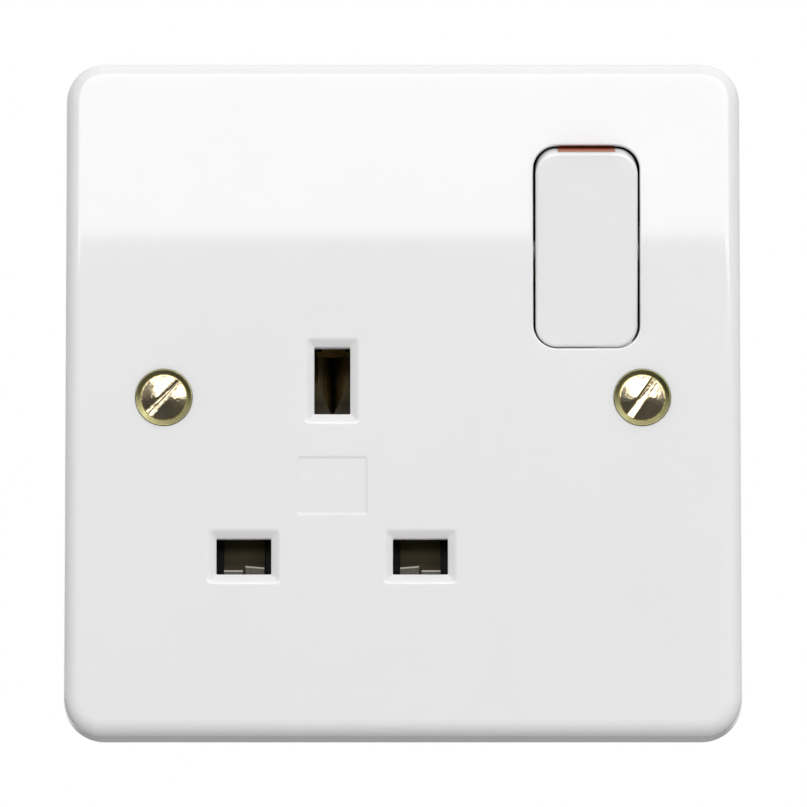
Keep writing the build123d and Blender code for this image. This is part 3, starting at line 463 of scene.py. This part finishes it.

# %% Shutter and red insert finishes
# Painted light: the stops' front faces are painted lighter than the slope, and their rounded top edges paler still
# as a painted highlight.
SHUTTER_LIT_FRONT = (0.085, 0.08, 0.068)
SHUTTER_EDGE_HIGHLIGHT = (0.46, 0.44, 0.39)
shutter_lit_and_shaded_tones = (
    (0.0, SHUTTER_LIT_FRONT),
    (0.006 * MM, SHUTTER_LIT_FRONT),
    (0.02 * MM, SHUTTER_EDGE_HIGHLIGHT),
    (0.2 * MM, SHUTTER_EDGE_HIGHLIGHT),
    (0.3 * MM, (0.042, 0.036, 0.026)),
    (1.8 * MM, (0.045, 0.038, 0.024)),
    # Painted light: the deepest part of the slope is painted lighter.
    (3.8 * MM, (0.22, 0.18, 0.10)),
    (3.9 * MM, (0.006, 0.005, 0.004)),
)
# Painted light and shade: the insert is paler at the front, where it is lit, and darker deep in the opening, where
# the lip shades it.
insert_lit_and_shaded_tones = (
    (0.15 * MM, (0.42, 0.20, 0.14)),
    (0.6 * MM, (0.38, 0.12, 0.07)),
    (1.0 * MM, (0.22, 0.035, 0.016)),
)
finishes["shutter_dark"] = depth_finish(
    "brown_shutter",
    "shutter",
    shutter_lit_and_shaded_tones,
    roughness=0.22,
    shine=0.15,
    soft=0.0,
    grain_size=0.4 * MM,
    ragged=0.003 * MM,
    dark_to=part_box("shutter")[1].z,
)
finishes["indicator_red"] = depth_finish(
    "red_insert",
    "on_indicator",
    insert_lit_and_shaded_tones,
    roughness=0.35,
    shine=0.3,
    soft=0.15,
    grain_size=0.5 * MM,
    ragged=0.05 * MM,
)
print("depth finishes for the shutter and the red insert")

# %% [markdown]
# ## Metals
# Contacts are stamped from rolled brass, so fine lines run along the strip; terminals are cut
# from bar; the screws are plated. One function makes them from two tones, with the lines
# stretched along one axis of the piece.

# %% Metals
BLOOM_SIZE = 4 * MM
BLOOM_FROM = 0.35
BLOOM_TO = 0.7
LINE_SPREAD = 0.3
EVEN = (1, 1, 1)


def metal(name, bright, dull, roughness, line, stretch, depth, edge=0.08 * MM):
    """A metal with two tones in soft patches, and fine lines drawn out along one axis."""
    made = bpy.data.materials.new(name)
    tree = new_tree(made)
    where = add(tree, "ShaderNodeTexCoord").outputs["Object"]
    drawn = add(tree, "ShaderNodeMapping", {"Vector": where, "Scale": stretch})
    lines = noise(tree, drawn.outputs[0], line, detail=4.0)
    spread = add(tree, "ShaderNodeMapRange", {
        "Value": noise(tree, where, BLOOM_SIZE, detail=3.0),
        "From Min": BLOOM_FROM,
        "From Max": BLOOM_TO,
    })
    polish = add(tree, "ShaderNodeMapRange", {
        "Value": lines,
        "To Min": (1 - LINE_SPREAD) * roughness,
        "To Max": (1 + LINE_SPREAD) * roughness,
    })
    skin = add(tree, "ShaderNodeBsdfPrincipled", {
        "Base Color": mixed_tint(tree, spread.outputs[0], bright, dull),
        "Metallic": 1.0,
        "Roughness": polish.outputs[0],
        "Normal": surface(tree, lines, depth, edge),
    })
    add(tree, "ShaderNodeOutputMaterial", {"Surface": skin.outputs[0]})
    return made


print("metal ready")

# %% Metal finishes
finishes["contact_brass"] = metal(
    "rolled_brass",
    bright=(0.62, 0.46, 0.19),
    dull=(0.46, 0.32, 0.12),
    roughness=0.3,
    line=0.2 * MM,
    stretch=(1, 1, 0.1),
    depth=0.004 * MM,
)
finishes["terminal_brass"] = metal(
    "bar_brass",
    bright=(0.84, 0.66, 0.33),
    dull=(0.70, 0.52, 0.24),
    roughness=0.25,
    line=0.15 * MM,
    stretch=(1, 1, 0.15),
    depth=0.004 * MM,
)
finishes["screw_yellow"] = metal(
    "yellow_plating",
    bright=(0.62, 0.58, 0.29),
    dull=(0.48, 0.45, 0.22),
    roughness=0.2,
    line=0.3 * MM,
    stretch=EVEN,
    depth=0.004 * MM,
    edge=0.05 * MM,
)
finishes["screw_zinc"] = metal(
    "bright_zinc",
    bright=(0.66, 0.67, 0.69),
    dull=(0.50, 0.51, 0.54),
    roughness=0.3,
    line=0.2 * MM,
    stretch=(1, 0.3, 1),
    depth=0.004 * MM,
)
finishes["contact_silver"] = metal(
    "silver",
    bright=(0.86, 0.85, 0.81),
    dull=(0.70, 0.68, 0.64),
    roughness=0.3,
    line=0.2 * MM,
    stretch=EVEN,
    depth=0.003 * MM,
)
finishes["spring_steel"] = metal(
    "spring_wire",
    bright=(0.60, 0.60, 0.61),
    dull=(0.42, 0.42, 0.44),
    roughness=0.25,
    line=0.1 * MM,
    stretch=EVEN,
    depth=0.002 * MM,
    edge=0.02 * MM,
)
tarnished = metal(
    "tarnished_brass",
    bright=(0.24, 0.19, 0.10),
    dull=(0.15, 0.115, 0.06),
    roughness=0.5,
    line=0.2 * MM,
    stretch=(1, 1, 0.1),
    depth=0.004 * MM,
)
polished = metal(
    "polished_plating",
    bright=(0.80, 0.68, 0.46),
    dull=(0.52, 0.43, 0.28),
    roughness=0.06,
    line=0.4 * MM,
    stretch=EVEN,
    depth=0.03 * MM,
    edge=0.06 * MM,
)
print("finishes for", len(finishes), "slots, and two more metals")

# %% [markdown]
# ## Dressing the CAD pieces
# The record says which material slot each CAD node has. Each node's mesh gets the finish of its
# slot, and nothing else about it changes. The brass inside the switch is dulled by its sparks, so
# it gets the tarnished one.

# %% CAD pieces
SPARKED = ("line_bracket", "moving_contact")

for name, piece in nodes.items():
    piece.data.materials.clear()
    piece.data.materials.append(tarnished if name in SPARKED else finishes[slot_of[name]])
print("dressed", len(nodes), "CAD pieces")

# %% [markdown]
# ## Turning, threading and sawing
# A screw is turned from bar, threaded and slotted with a saw. The same three steps make it here:
# spin an outline of radius and depth about the screw's axis, wind a triangle round the core with
# a spin that also climbs, and cut the slot with three planes, whose opening is then closed with
# two walls and a floor.

# %% Turning
LATHE_STEPS = 72
JOIN = 1e-7


def turned(outline, x, z):
    shape = bmesh.new()
    points = [shape.verts.new((x + r, y, z)) for r, y in outline]
    line = [shape.edges.new(pair) for pair in zip(points, points[1:])]
    bmesh.ops.spin(
        shape,
        geom=points + line,
        cent=(x, 0, z),
        axis=(0, 1, 0),
        angle=math.tau,
        steps=LATHE_STEPS,
        use_merge=True,
    )
    bmesh.ops.remove_doubles(shape, verts=shape.verts, dist=JOIN)
    return shape


def rounded_to(start, end, bulge, count=6):
    """Points of a quarter curve from one point to another, bulging towards a third."""
    points = []
    for step in range(count + 1):
        t = step / count
        weights = ((1 - t) ** 2, 2 * t * (1 - t), t * t)
        rows = zip(start, bulge, end)
        points.append(tuple(sum(w * v for w, v in zip(weights, row)) for row in rows))
    return points


print("lathe with", LATHE_STEPS, "steps")

# %% Threading
THREAD_STEPS = 28
THREAD_SINK = 0.06 * MM
THREAD_SHARE = 0.9


def threaded(shape, x, z, start, end, core, crest, pitch):
    """Winds a thread of triangular section round a core, between two depths."""
    turns = (end - start) / pitch - 1
    steps = round(turns * THREAD_STEPS)
    root = core - THREAD_SINK
    width = THREAD_SHARE * pitch
    section = ((root, start), (crest, start + width / 2), (root, start + width))
    points = [shape.verts.new((x + r, y, z)) for r, y in section]
    first = shape.faces.new(points)
    wound = bmesh.ops.spin(
        shape,
        geom=points + list(first.edges),
        cent=(x, 0, z),
        axis=(0, 1, 0),
        dvec=(0, turns * pitch / steps, 0),
        angle=turns * math.tau,
        steps=steps,
    )
    shape.faces.new([v for v in wound["geom_last"] if isinstance(v, bmesh.types.BMVert)])


print("thread with", THREAD_STEPS, "steps to a turn")

# %% Sawing
ON_PLANE = 10 * JOIN


def sawn(shape, x, z, angle, width, floor_y, reach, out, vee_at=0.0, vee_depth=0.0):
    """Cuts a slot across a head. Out is -1 if the head faces the front, and 1 if it faces the back.
    The floor may be a shallow V, with its lowest line vee_at away from the middle."""
    along = Vector((math.cos(angle), 0, math.sin(angle)))
    across = Vector((-math.sin(angle), 0, math.cos(angle)))
    middle = Vector((x, floor_y, z))
    half = width / 2

    def place(point):
        off = point - middle
        return off.dot(along), off.dot(across), out * off.y

    planes = [(middle + side * half * across, across) for side in (-1, 1)]
    for point, normal in planes + [(middle, Vector((0, 1, 0)))]:
        everything = shape.verts[:] + shape.edges[:] + shape.faces[:]
        bmesh.ops.bisect_plane(shape, geom=everything, dist=JOIN, plane_co=point, plane_no=normal)

    def in_slot(face):
        u, v, rise = place(face.calc_center_median())
        return abs(v) < half and rise > 0 and math.hypot(u, v) < reach

    def on_floor(v):
        return abs(place(v.co)[2]) < ON_PLANE

    def on_wall(v, side):
        return abs(place(v.co)[1] - side * half) < ON_PLANE

    bmesh.ops.delete(shape, geom=[f for f in shape.faces if in_slot(f)], context="FACES")
    rim = [e for e in shape.edges if e.is_boundary]
    corners = {v for e in rim for v in e.verts if on_floor(v)}
    lines = []
    for side in (-1, 1):
        line = shape.edges.new([v for v in corners if on_wall(v, side)])
        wall = [e for e in rim if on_wall(e.verts[0], side) and on_wall(e.verts[1], side)]
        bmesh.ops.edgeloop_fill(shape, edges=wall + [line])
        lines.append(line)
    ends = [e for e in rim if on_floor(e.verts[0]) and on_floor(e.verts[1])]
    ground = bmesh.ops.edgeloop_fill(shape, edges=ends + lines)["faces"]
    if vee_depth:
        around = {e for f in ground for e in f.edges} | {v for f in ground for v in f.verts}
        cut = bmesh.ops.bisect_plane(
            shape,
            geom=ground + list(around),
            dist=JOIN,
            plane_co=middle + vee_at * across,
            plane_no=across,
        )
        for part in cut["geom_cut"]:
            if isinstance(part, bmesh.types.BMVert):
                part.co.y -= out * vee_depth


print("saw ready")

# %% [markdown]
# ## From shape to piece
# Each shape made here becomes a mesh with a finish. It rides on one of the CAD bodies, so that it
# moves with it, and takes the finish of a material slot, or the finishes it is given. A piece that
# stands for a CAD node hides that node.


# %% From shape to piece
def finished(shape, name, slot, body, replaced=None, materials=None):
    """Makes a shape a piece that rides on a body, takes a slot's finish and may replace a node."""
    bmesh.ops.recalc_face_normals(shape, faces=shape.faces)
    mesh = bpy.data.meshes.new(name)
    shape.to_mesh(mesh)
    shape.free()
    for material in materials or [finishes[slot]]:
        mesh.materials.append(material)
    piece = bpy.data.objects.new(name, mesh)
    scene.collection.objects.link(piece)
    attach(piece, body)
    if replaced:
        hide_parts(replaced)
    return piece


print("ready to make pieces")

# %% [markdown]
# ## The red insert
# The strip in the rocker's top end shows that the socket is on. It stands a hair proud of the
# rocker, which is finer than the CAD draws it. Its top is round about the rocker's pivot, so that
# it passes the edge of the opening at the same distance whichever way the rocker is tipped. Its
# outline is drawn round that pivot, closed to a face and pushed along the rocker's width.

# %% Red insert
INSERT_R = 13.22 * MM
INSERT_FRONT = -4.2 * MM
INSERT_BACK = -0.4 * MM
INSERT_LOW = 11.81 * MM
INSERT_EDGE = 0.06 * MM
INSERT_STEPS = 16
INSERT_SHARP = math.radians(30)
ROCKER_TILT = math.radians(6)

low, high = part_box("on_indicator")
pivot = Vector(joints["rocker_tip"]["pos_m"])
tipped = Matrix.Translation(pivot) @ Matrix.Rotation(ROCKER_TILT, 4, "X")
outline = [(INSERT_BACK, INSERT_LOW), (INSERT_FRONT, INSERT_LOW)]
for step in range(INSERT_STEPS + 1):
    y = INSERT_FRONT + (INSERT_BACK - INSERT_FRONT) * step / INSERT_STEPS
    outline.append((y, math.sqrt(INSERT_R**2 - y**2)))
shape = bmesh.new()
section = shape.faces.new([shape.verts.new((low.x - pivot.x, y, z)) for y, z in outline])
pushed = bmesh.ops.extrude_face_region(shape, geom=[section])["geom"]
far = [v for v in pushed if isinstance(v, bmesh.types.BMVert)]
bmesh.ops.translate(shape, verts=far, vec=(high.x - low.x, 0, 0))
upper = [e for e in shape.edges if all(v.co.z > INSERT_LOW + INSERT_EDGE for v in e.verts)]
sharp = [e for e in upper if e.calc_face_angle() > INSERT_SHARP]
bmesh.ops.bevel(
    shape,
    geom=sharp,
    offset=INSERT_EDGE,
    offset_type="OFFSET",
    affect="EDGES",
    segments=2,
    profile=0.5,
    material=-1,
)
bmesh.ops.transform(shape, verts=shape.verts, matrix=tipped)
finished(shape, "red_strip", "indicator_red", "rocker", "on_indicator")
print("red insert with", len(outline), "points round")

# %% [markdown]
# ## Fixing screws
# The two screws that hold the socket to its wall box are the brightest things on it: a polished
# dome with a sawn slot stands inside a dished yellow rim. The dish is what makes the rim dark
# above and bright below, the other way round from the dome. Both screws come from one outline.
# The dome's faces take the polished plating and the rest the yellow one.

# %% Outline of the fixing screws
DOME_R = 2.85 * MM
DOME_RISE = 0.6 * MM
DOME_CROWN = 0.36
DOME_STEPS = 16
SHOULDER = 0.1 * MM
SHOULDER_STEPS = 3
DISH_DEPTH = 0.2 * MM
DISH_GAP = 0.03 * MM
RIM_R = 3.6 * MM
RIM_PROUD = 0.08 * MM
RIM_LAND = 0.3 * MM
RIM_ROUND = ((0.1 * MM, 0.0), (0.02 * MM, 0.05 * MM), (0.0, 0.12 * MM))
NECK_R = 1.5 * MM
NECK_CHAMFER = 0.1 * MM
FIXING_CORE = 1.4 * MM
FIXING_THREAD_START = -0.3 * MM
FIXING_POINT = 0.5 * MM
FIXING_POINT_R = 1.0 * MM

screw_low, screw_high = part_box("fixing_screws")
crown_y, tip_y = screw_low.y, screw_high.y
edge_y = crown_y + DOME_RISE
edge = (DOME_R - SHOULDER, edge_y)
dome = rounded_to((0, crown_y), edge, (DOME_CROWN * DOME_R, crown_y), DOME_STEPS)
shoulder = rounded_to(edge, (DOME_R, edge_y + SHOULDER), (DOME_R, edge_y), SHOULDER_STEPS)
fixing_outline = dome + shoulder[1:] + [
    (DOME_R + DISH_GAP, face_y + DISH_DEPTH),
    *((RIM_R - inward, face_y - RIM_PROUD + down) for inward, down in RIM_ROUND),
    (RIM_R, face_y + RIM_LAND),
    (NECK_R, face_y + RIM_LAND + RIM_R - NECK_R),
    (NECK_R, FIXING_THREAD_START),
    (FIXING_CORE, FIXING_THREAD_START + NECK_CHAMFER),
    (FIXING_CORE, tip_y - FIXING_POINT),
    (FIXING_POINT_R, tip_y),
    (0, tip_y),
]
print("outline from", round(crown_y / MM, 2), "to", round(tip_y / MM, 2), "mm")

# %% Fixing screws
FIXING_PITCH = 60.3 * MM
FIXING_CREST = 1.75 * MM
FIXING_THREAD = 0.6 * MM
FIXING_THREAD_STOP = 0.6 * MM
FIXING_SLOT_W = 1.1 * MM
FIXING_SLOT_DEPTH = 0.65 * MM
FIXING_VEE = 0.09 * MM
DOME_REACH = DOME_R + 0.02 * MM
DOME_BACK = 0.1 * MM

slot_y = crown_y + FIXING_SLOT_DEPTH
thread_end = tip_y - FIXING_THREAD_STOP
plating = [polished, finishes["screw_yellow"]]
for name, side, degrees, vee_at in (
    ("fixing_screw_left", -1, 48, 0.0),
    ("fixing_screw_right", 1, 55, 0.3 * MM),
):
    x = side * FIXING_PITCH / 2
    angle = math.radians(degrees)
    shape = turned(fixing_outline, x, 0)
    sawn(shape, x, 0, angle, FIXING_SLOT_W, slot_y, DOME_REACH, -1, vee_at, FIXING_VEE)
    threaded(
        shape, x, 0, FIXING_THREAD_START, thread_end, FIXING_CORE, FIXING_CREST, FIXING_THREAD
    )
    for face in shape.faces:
        middle = face.calc_center_median()
        in_dome = math.hypot(middle.x - x, middle.z) < DOME_REACH and middle.y < face_y + DOME_BACK
        face.material_index = 0 if in_dome else 1
    finished(shape, name, "screw_yellow", "base", "fixing_screws", plating)
print("two fixing screws", round(FIXING_PITCH / MM, 1), "mm apart")

# %% [markdown]
# ## Terminal and housing screws
# The four terminal screws and the two screws behind the housing are cheese-headed machine screws,
# so one function turns them all: a rounded head, a core, a thread and a straight slot. Each
# terminal screw rides on its own body, because it runs in and out.

# %% Cheese-headed screws
HEAD_ROUND = 0.35 * MM
HEAD_CHAMFER = 0.1 * MM
TIP_CHAMFER = 0.3 * MM
TIP_LEAD = 0.15 * MM


def cheese_screw(
    name, node, body, x, z, tip, top, head_r, head, core, crest, pitch, slot_w, slot_depth
):
    """A screw along Y whose head faces the back, from its tip to the top of its head."""
    seat = top - head
    outline = [
        (0, tip),
        (core - TIP_CHAMFER, tip),
        (core, tip + TIP_CHAMFER),
        (core, seat),
        (head_r - HEAD_CHAMFER, seat),
        (head_r, seat + HEAD_CHAMFER),
        *rounded_to((head_r, top - HEAD_ROUND), (head_r - HEAD_ROUND, top), (head_r, top)),
        (0, top),
    ]
    shape = turned(outline, x, z)
    sawn(shape, x, z, 0, slot_w, top - slot_depth, 2 * head_r, 1)
    threaded(shape, x, z, tip + TIP_LEAD, seat, core, crest, pitch)
    finished(shape, name, slot_of[node], body, node)


print("cheese-headed screws ready")

# %% Terminal and housing screws
TERMINAL_SCREW = {
    "head": 2.0 * MM,
    "core": 1.6 * MM,
    "crest": 2.0 * MM,
    "pitch": 0.7 * MM,
    "slot_w": 0.9 * MM,
    "slot_depth": 1.0 * MM,
}
HOUSING_SCREW = {
    "head": 1.8 * MM,
    "core": 1.05 * MM,
    "crest": 1.4 * MM,
    "pitch": 1.0 * MM,
    "slot_w": 0.9 * MM,
    "slot_depth": 0.8 * MM,
}
HOUSING_HEAD_R = 2.6 * MM

for node in ("line_screw", "neutral_screw", "earth_screw_left", "earth_screw_right"):
    low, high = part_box(node)
    x, z = (low.x + high.x) / 2, (low.z + high.z) / 2
    head_r = (high.x - low.x) / 2
    cheese_screw(
        node + "_threaded", node, node, x, z, low.y, high.y, head_r, **TERMINAL_SCREW
    )
low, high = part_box("housing_screws")
for name, x, z in (
    ("housing_screw_low", high.x - HOUSING_HEAD_R, low.z + HOUSING_HEAD_R),
    ("housing_screw_high", low.x + HOUSING_HEAD_R, high.z - HOUSING_HEAD_R),
):
    cheese_screw(
        name, "housing_screws", "base", x, z, low.y, high.y, HOUSING_HEAD_R, **HOUSING_SCREW
    )
print("four terminal screws and two housing screws")

# %% [markdown]
# ## Springs
# A coil spring is a small circle wound round an axis: a spin that climbs with each step. The
# first and last turn climb by just one wire, which gives the closed ends. The shutter's spring
# shortens as the shutter slides down; the plunger's spring rides in the rocker.

# %% Winding
WIRE_SIDES = 10
COIL_STEPS = 30


def coil(name, node, body, foot, axis, length, outer_r, wire, turns):
    """A coil spring that stands on its foot, with closed ends."""
    side = Vector((1, 0, 0))
    shape = bmesh.new()
    start = foot + axis * wire / 2 + side * (outer_r - wire / 2)
    turn = Matrix((side, axis, side.cross(axis))).transposed().to_4x4()
    place = Matrix.Translation(start) @ turn
    circle = bmesh.ops.create_circle(
        shape, segments=WIRE_SIDES, radius=wire / 2, matrix=place
    )
    ring = circle["verts"]
    section = ring + list({e for v in ring for e in v.link_edges})
    shape.faces.new(ring)
    for wound, climb in ((1, wire), (turns, (length - 3 * wire) / turns), (1, wire)):
        steps = wound * COIL_STEPS
        section = bmesh.ops.spin(
            shape,
            geom=section,
            cent=foot,
            axis=axis,
            dvec=axis * climb * wound / steps,
            angle=wound * math.tau,
            steps=steps,
        )["geom_last"]
    last = [e for e in section if isinstance(e, bmesh.types.BMEdge)]
    bmesh.ops.contextual_create(shape, geom=last)
    return finished(shape, name, "spring_steel", body, node)


print("winding with", COIL_STEPS, "steps to a turn")

# %% Springs
SHUTTER_COIL = {"outer_r": 1.5 * MM, "wire": 0.4 * MM, "turns": 7}
PLUNGER_COIL = {"outer_r": 1.75 * MM, "wire": 0.45 * MM, "turns": 4}
PLUNGER_COIL_LENGTH = 4.41 * MM
PLUNGER_COIL_SET = 2.63 * MM

low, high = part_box("shutter_spring")
foot = Vector(((low.x + high.x) / 2, (low.y + high.y) / 2, low.z))
length = high.z - low.z
up = Vector((0, 0, 1))
shutter_coil = coil("shutter_coil", "shutter_spring", "base", foot, up, length, **SHUTTER_COIL)
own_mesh(shutter_coil)

spring_way = Vector((0, math.cos(ROCKER_TILT), math.sin(ROCKER_TILT)))
foot = pivot - PLUNGER_COIL_SET * spring_way
coil(
    "plunger_coil", "plunger_spring", "rocker",
    foot, spring_way, PLUNGER_COIL_LENGTH, **PLUNGER_COIL,
)
print("springs wound, shutter spring", round(length / MM, 1), "mm long")

# %% [markdown]
# ## Earth spring leaves
# Deep in the earth hole the photograph shows dull brass. Inside the contact sit two thin leaves
# that spring together when there is no pin between them. Each is drawn from above as a curve that
# bows inwards, closed with the same curve a sheet's thickness further out, and pushed up into a
# leaf.

# %% Earth spring leaves
LEAF_X = -8.93 * MM
LEAF_LOW = -1.1 * MM
LEAF_HIGH = 6.5 * MM
LEAF_T = 0.3 * MM
LEAF_MOUTH = (1.76 * MM, 3.5 * MM)
LEAF_ROOT = (2.42 * MM, 11.5 * MM)
LEAF_BOW = (-1.85 * MM, 4.2 * MM)
LEAF_STEPS = 14

bowed = rounded_to(LEAF_MOUTH, LEAF_ROOT, LEAF_BOW, LEAF_STEPS)
outline = bowed + [(off + LEAF_T, y) for off, y in reversed(bowed)]
for name, side in (("earth_leaf_left", -1), ("earth_leaf_right", 1)):
    shape = bmesh.new()
    points = [shape.verts.new((LEAF_X + side * off, y, LEAF_LOW)) for off, y in outline]
    section = shape.faces.new(points)
    pushed = bmesh.ops.extrude_face_region(shape, geom=[section])["geom"]
    upper = [v for v in pushed if isinstance(v, bmesh.types.BMVert)]
    bmesh.ops.translate(shape, verts=upper, vec=(0, 0, LEAF_HIGH - LEAF_LOW))
    finished(shape, name, "contact_brass", "base", materials=[tarnished])
print("two spring leaves", round((LEAF_HIGH - LEAF_LOW) / MM, 1), "mm high")

# %% [markdown]
# ## Terminal marks
# The housing names each terminal beside its screw: N, the earth sign twice, and L. The marks
# stand a little out of the back, as engraved mould marks do. Letters start as text and the sign
# as bars, and both become meshes.

# %% Letters and signs
MARK_H = 2.6 * MM
MARK_RISE = 0.25 * MM
LETTER_CAP = 0.72
EARTH_BARS = (
    (0.9 * MM, 0.4 * MM, 1.5 * MM),
    (0.15 * MM, 2.6 * MM, 0.4 * MM),
    (-0.55 * MM, 1.7 * MM, 0.4 * MM),
    (-1.25 * MM, 0.8 * MM, 0.4 * MM),
)


def letter(text):
    curve = bpy.data.curves.new("letter", "FONT")
    curve.body = text
    curve.size = MARK_H / LETTER_CAP
    curve.align_x = "CENTER"
    curve.align_y = "CENTER"
    curve.extrude = MARK_RISE / 2
    holder = bpy.data.objects.new("letter", curve)
    mesh = bpy.data.meshes.new_from_object(holder)
    bpy.data.objects.remove(holder)
    shape = bmesh.new()
    shape.from_mesh(mesh)
    bmesh.ops.remove_doubles(shape, verts=shape.verts, dist=JOIN)
    return shape


def earth_sign():
    shape = bmesh.new()
    for y, width, height in EARTH_BARS:
        bar = bmesh.ops.create_cube(shape, size=1.0)["verts"]
        bmesh.ops.scale(shape, verts=bar, vec=(width, height, MARK_RISE))
        bmesh.ops.translate(shape, verts=bar, vec=(0, y, 0))
    return shape


print("letters", round(MARK_H / MM, 1), "mm high")

# %% Terminal marks
MARK_SINK = 0.02 * MM
MARK_DROP = 6.4 * MM
COLLAR_H = 0.5 * MM

rear_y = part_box("rear_housing")[1].y - COLLAR_H
facing_back = Euler((math.pi / 2, 0, math.pi)).to_matrix().to_4x4()
for name, screw, text in (
    ("mark_neutral", "neutral_screw", "N"),
    ("mark_earth_left", "earth_screw_left", None),
    ("mark_earth_right", "earth_screw_right", None),
    ("mark_line", "line_screw", "L"),
):
    low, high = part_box(screw)
    place = Vector((
        (low.x + high.x) / 2,
        rear_y + MARK_RISE / 2 - MARK_SINK,
        (low.z + high.z) / 2 - MARK_DROP,
    ))
    shape = letter(text) if text else earth_sign()
    placed = Matrix.Translation(place) @ facing_back
    bmesh.ops.transform(shape, verts=shape.verts, matrix=placed)
    finished(shape, name, "dark_moulding", "base")
print("four terminal marks")

# %% [markdown]
# ## Finish
# The last cell hands the scene over.

# %% Finish
print("scene handed over")
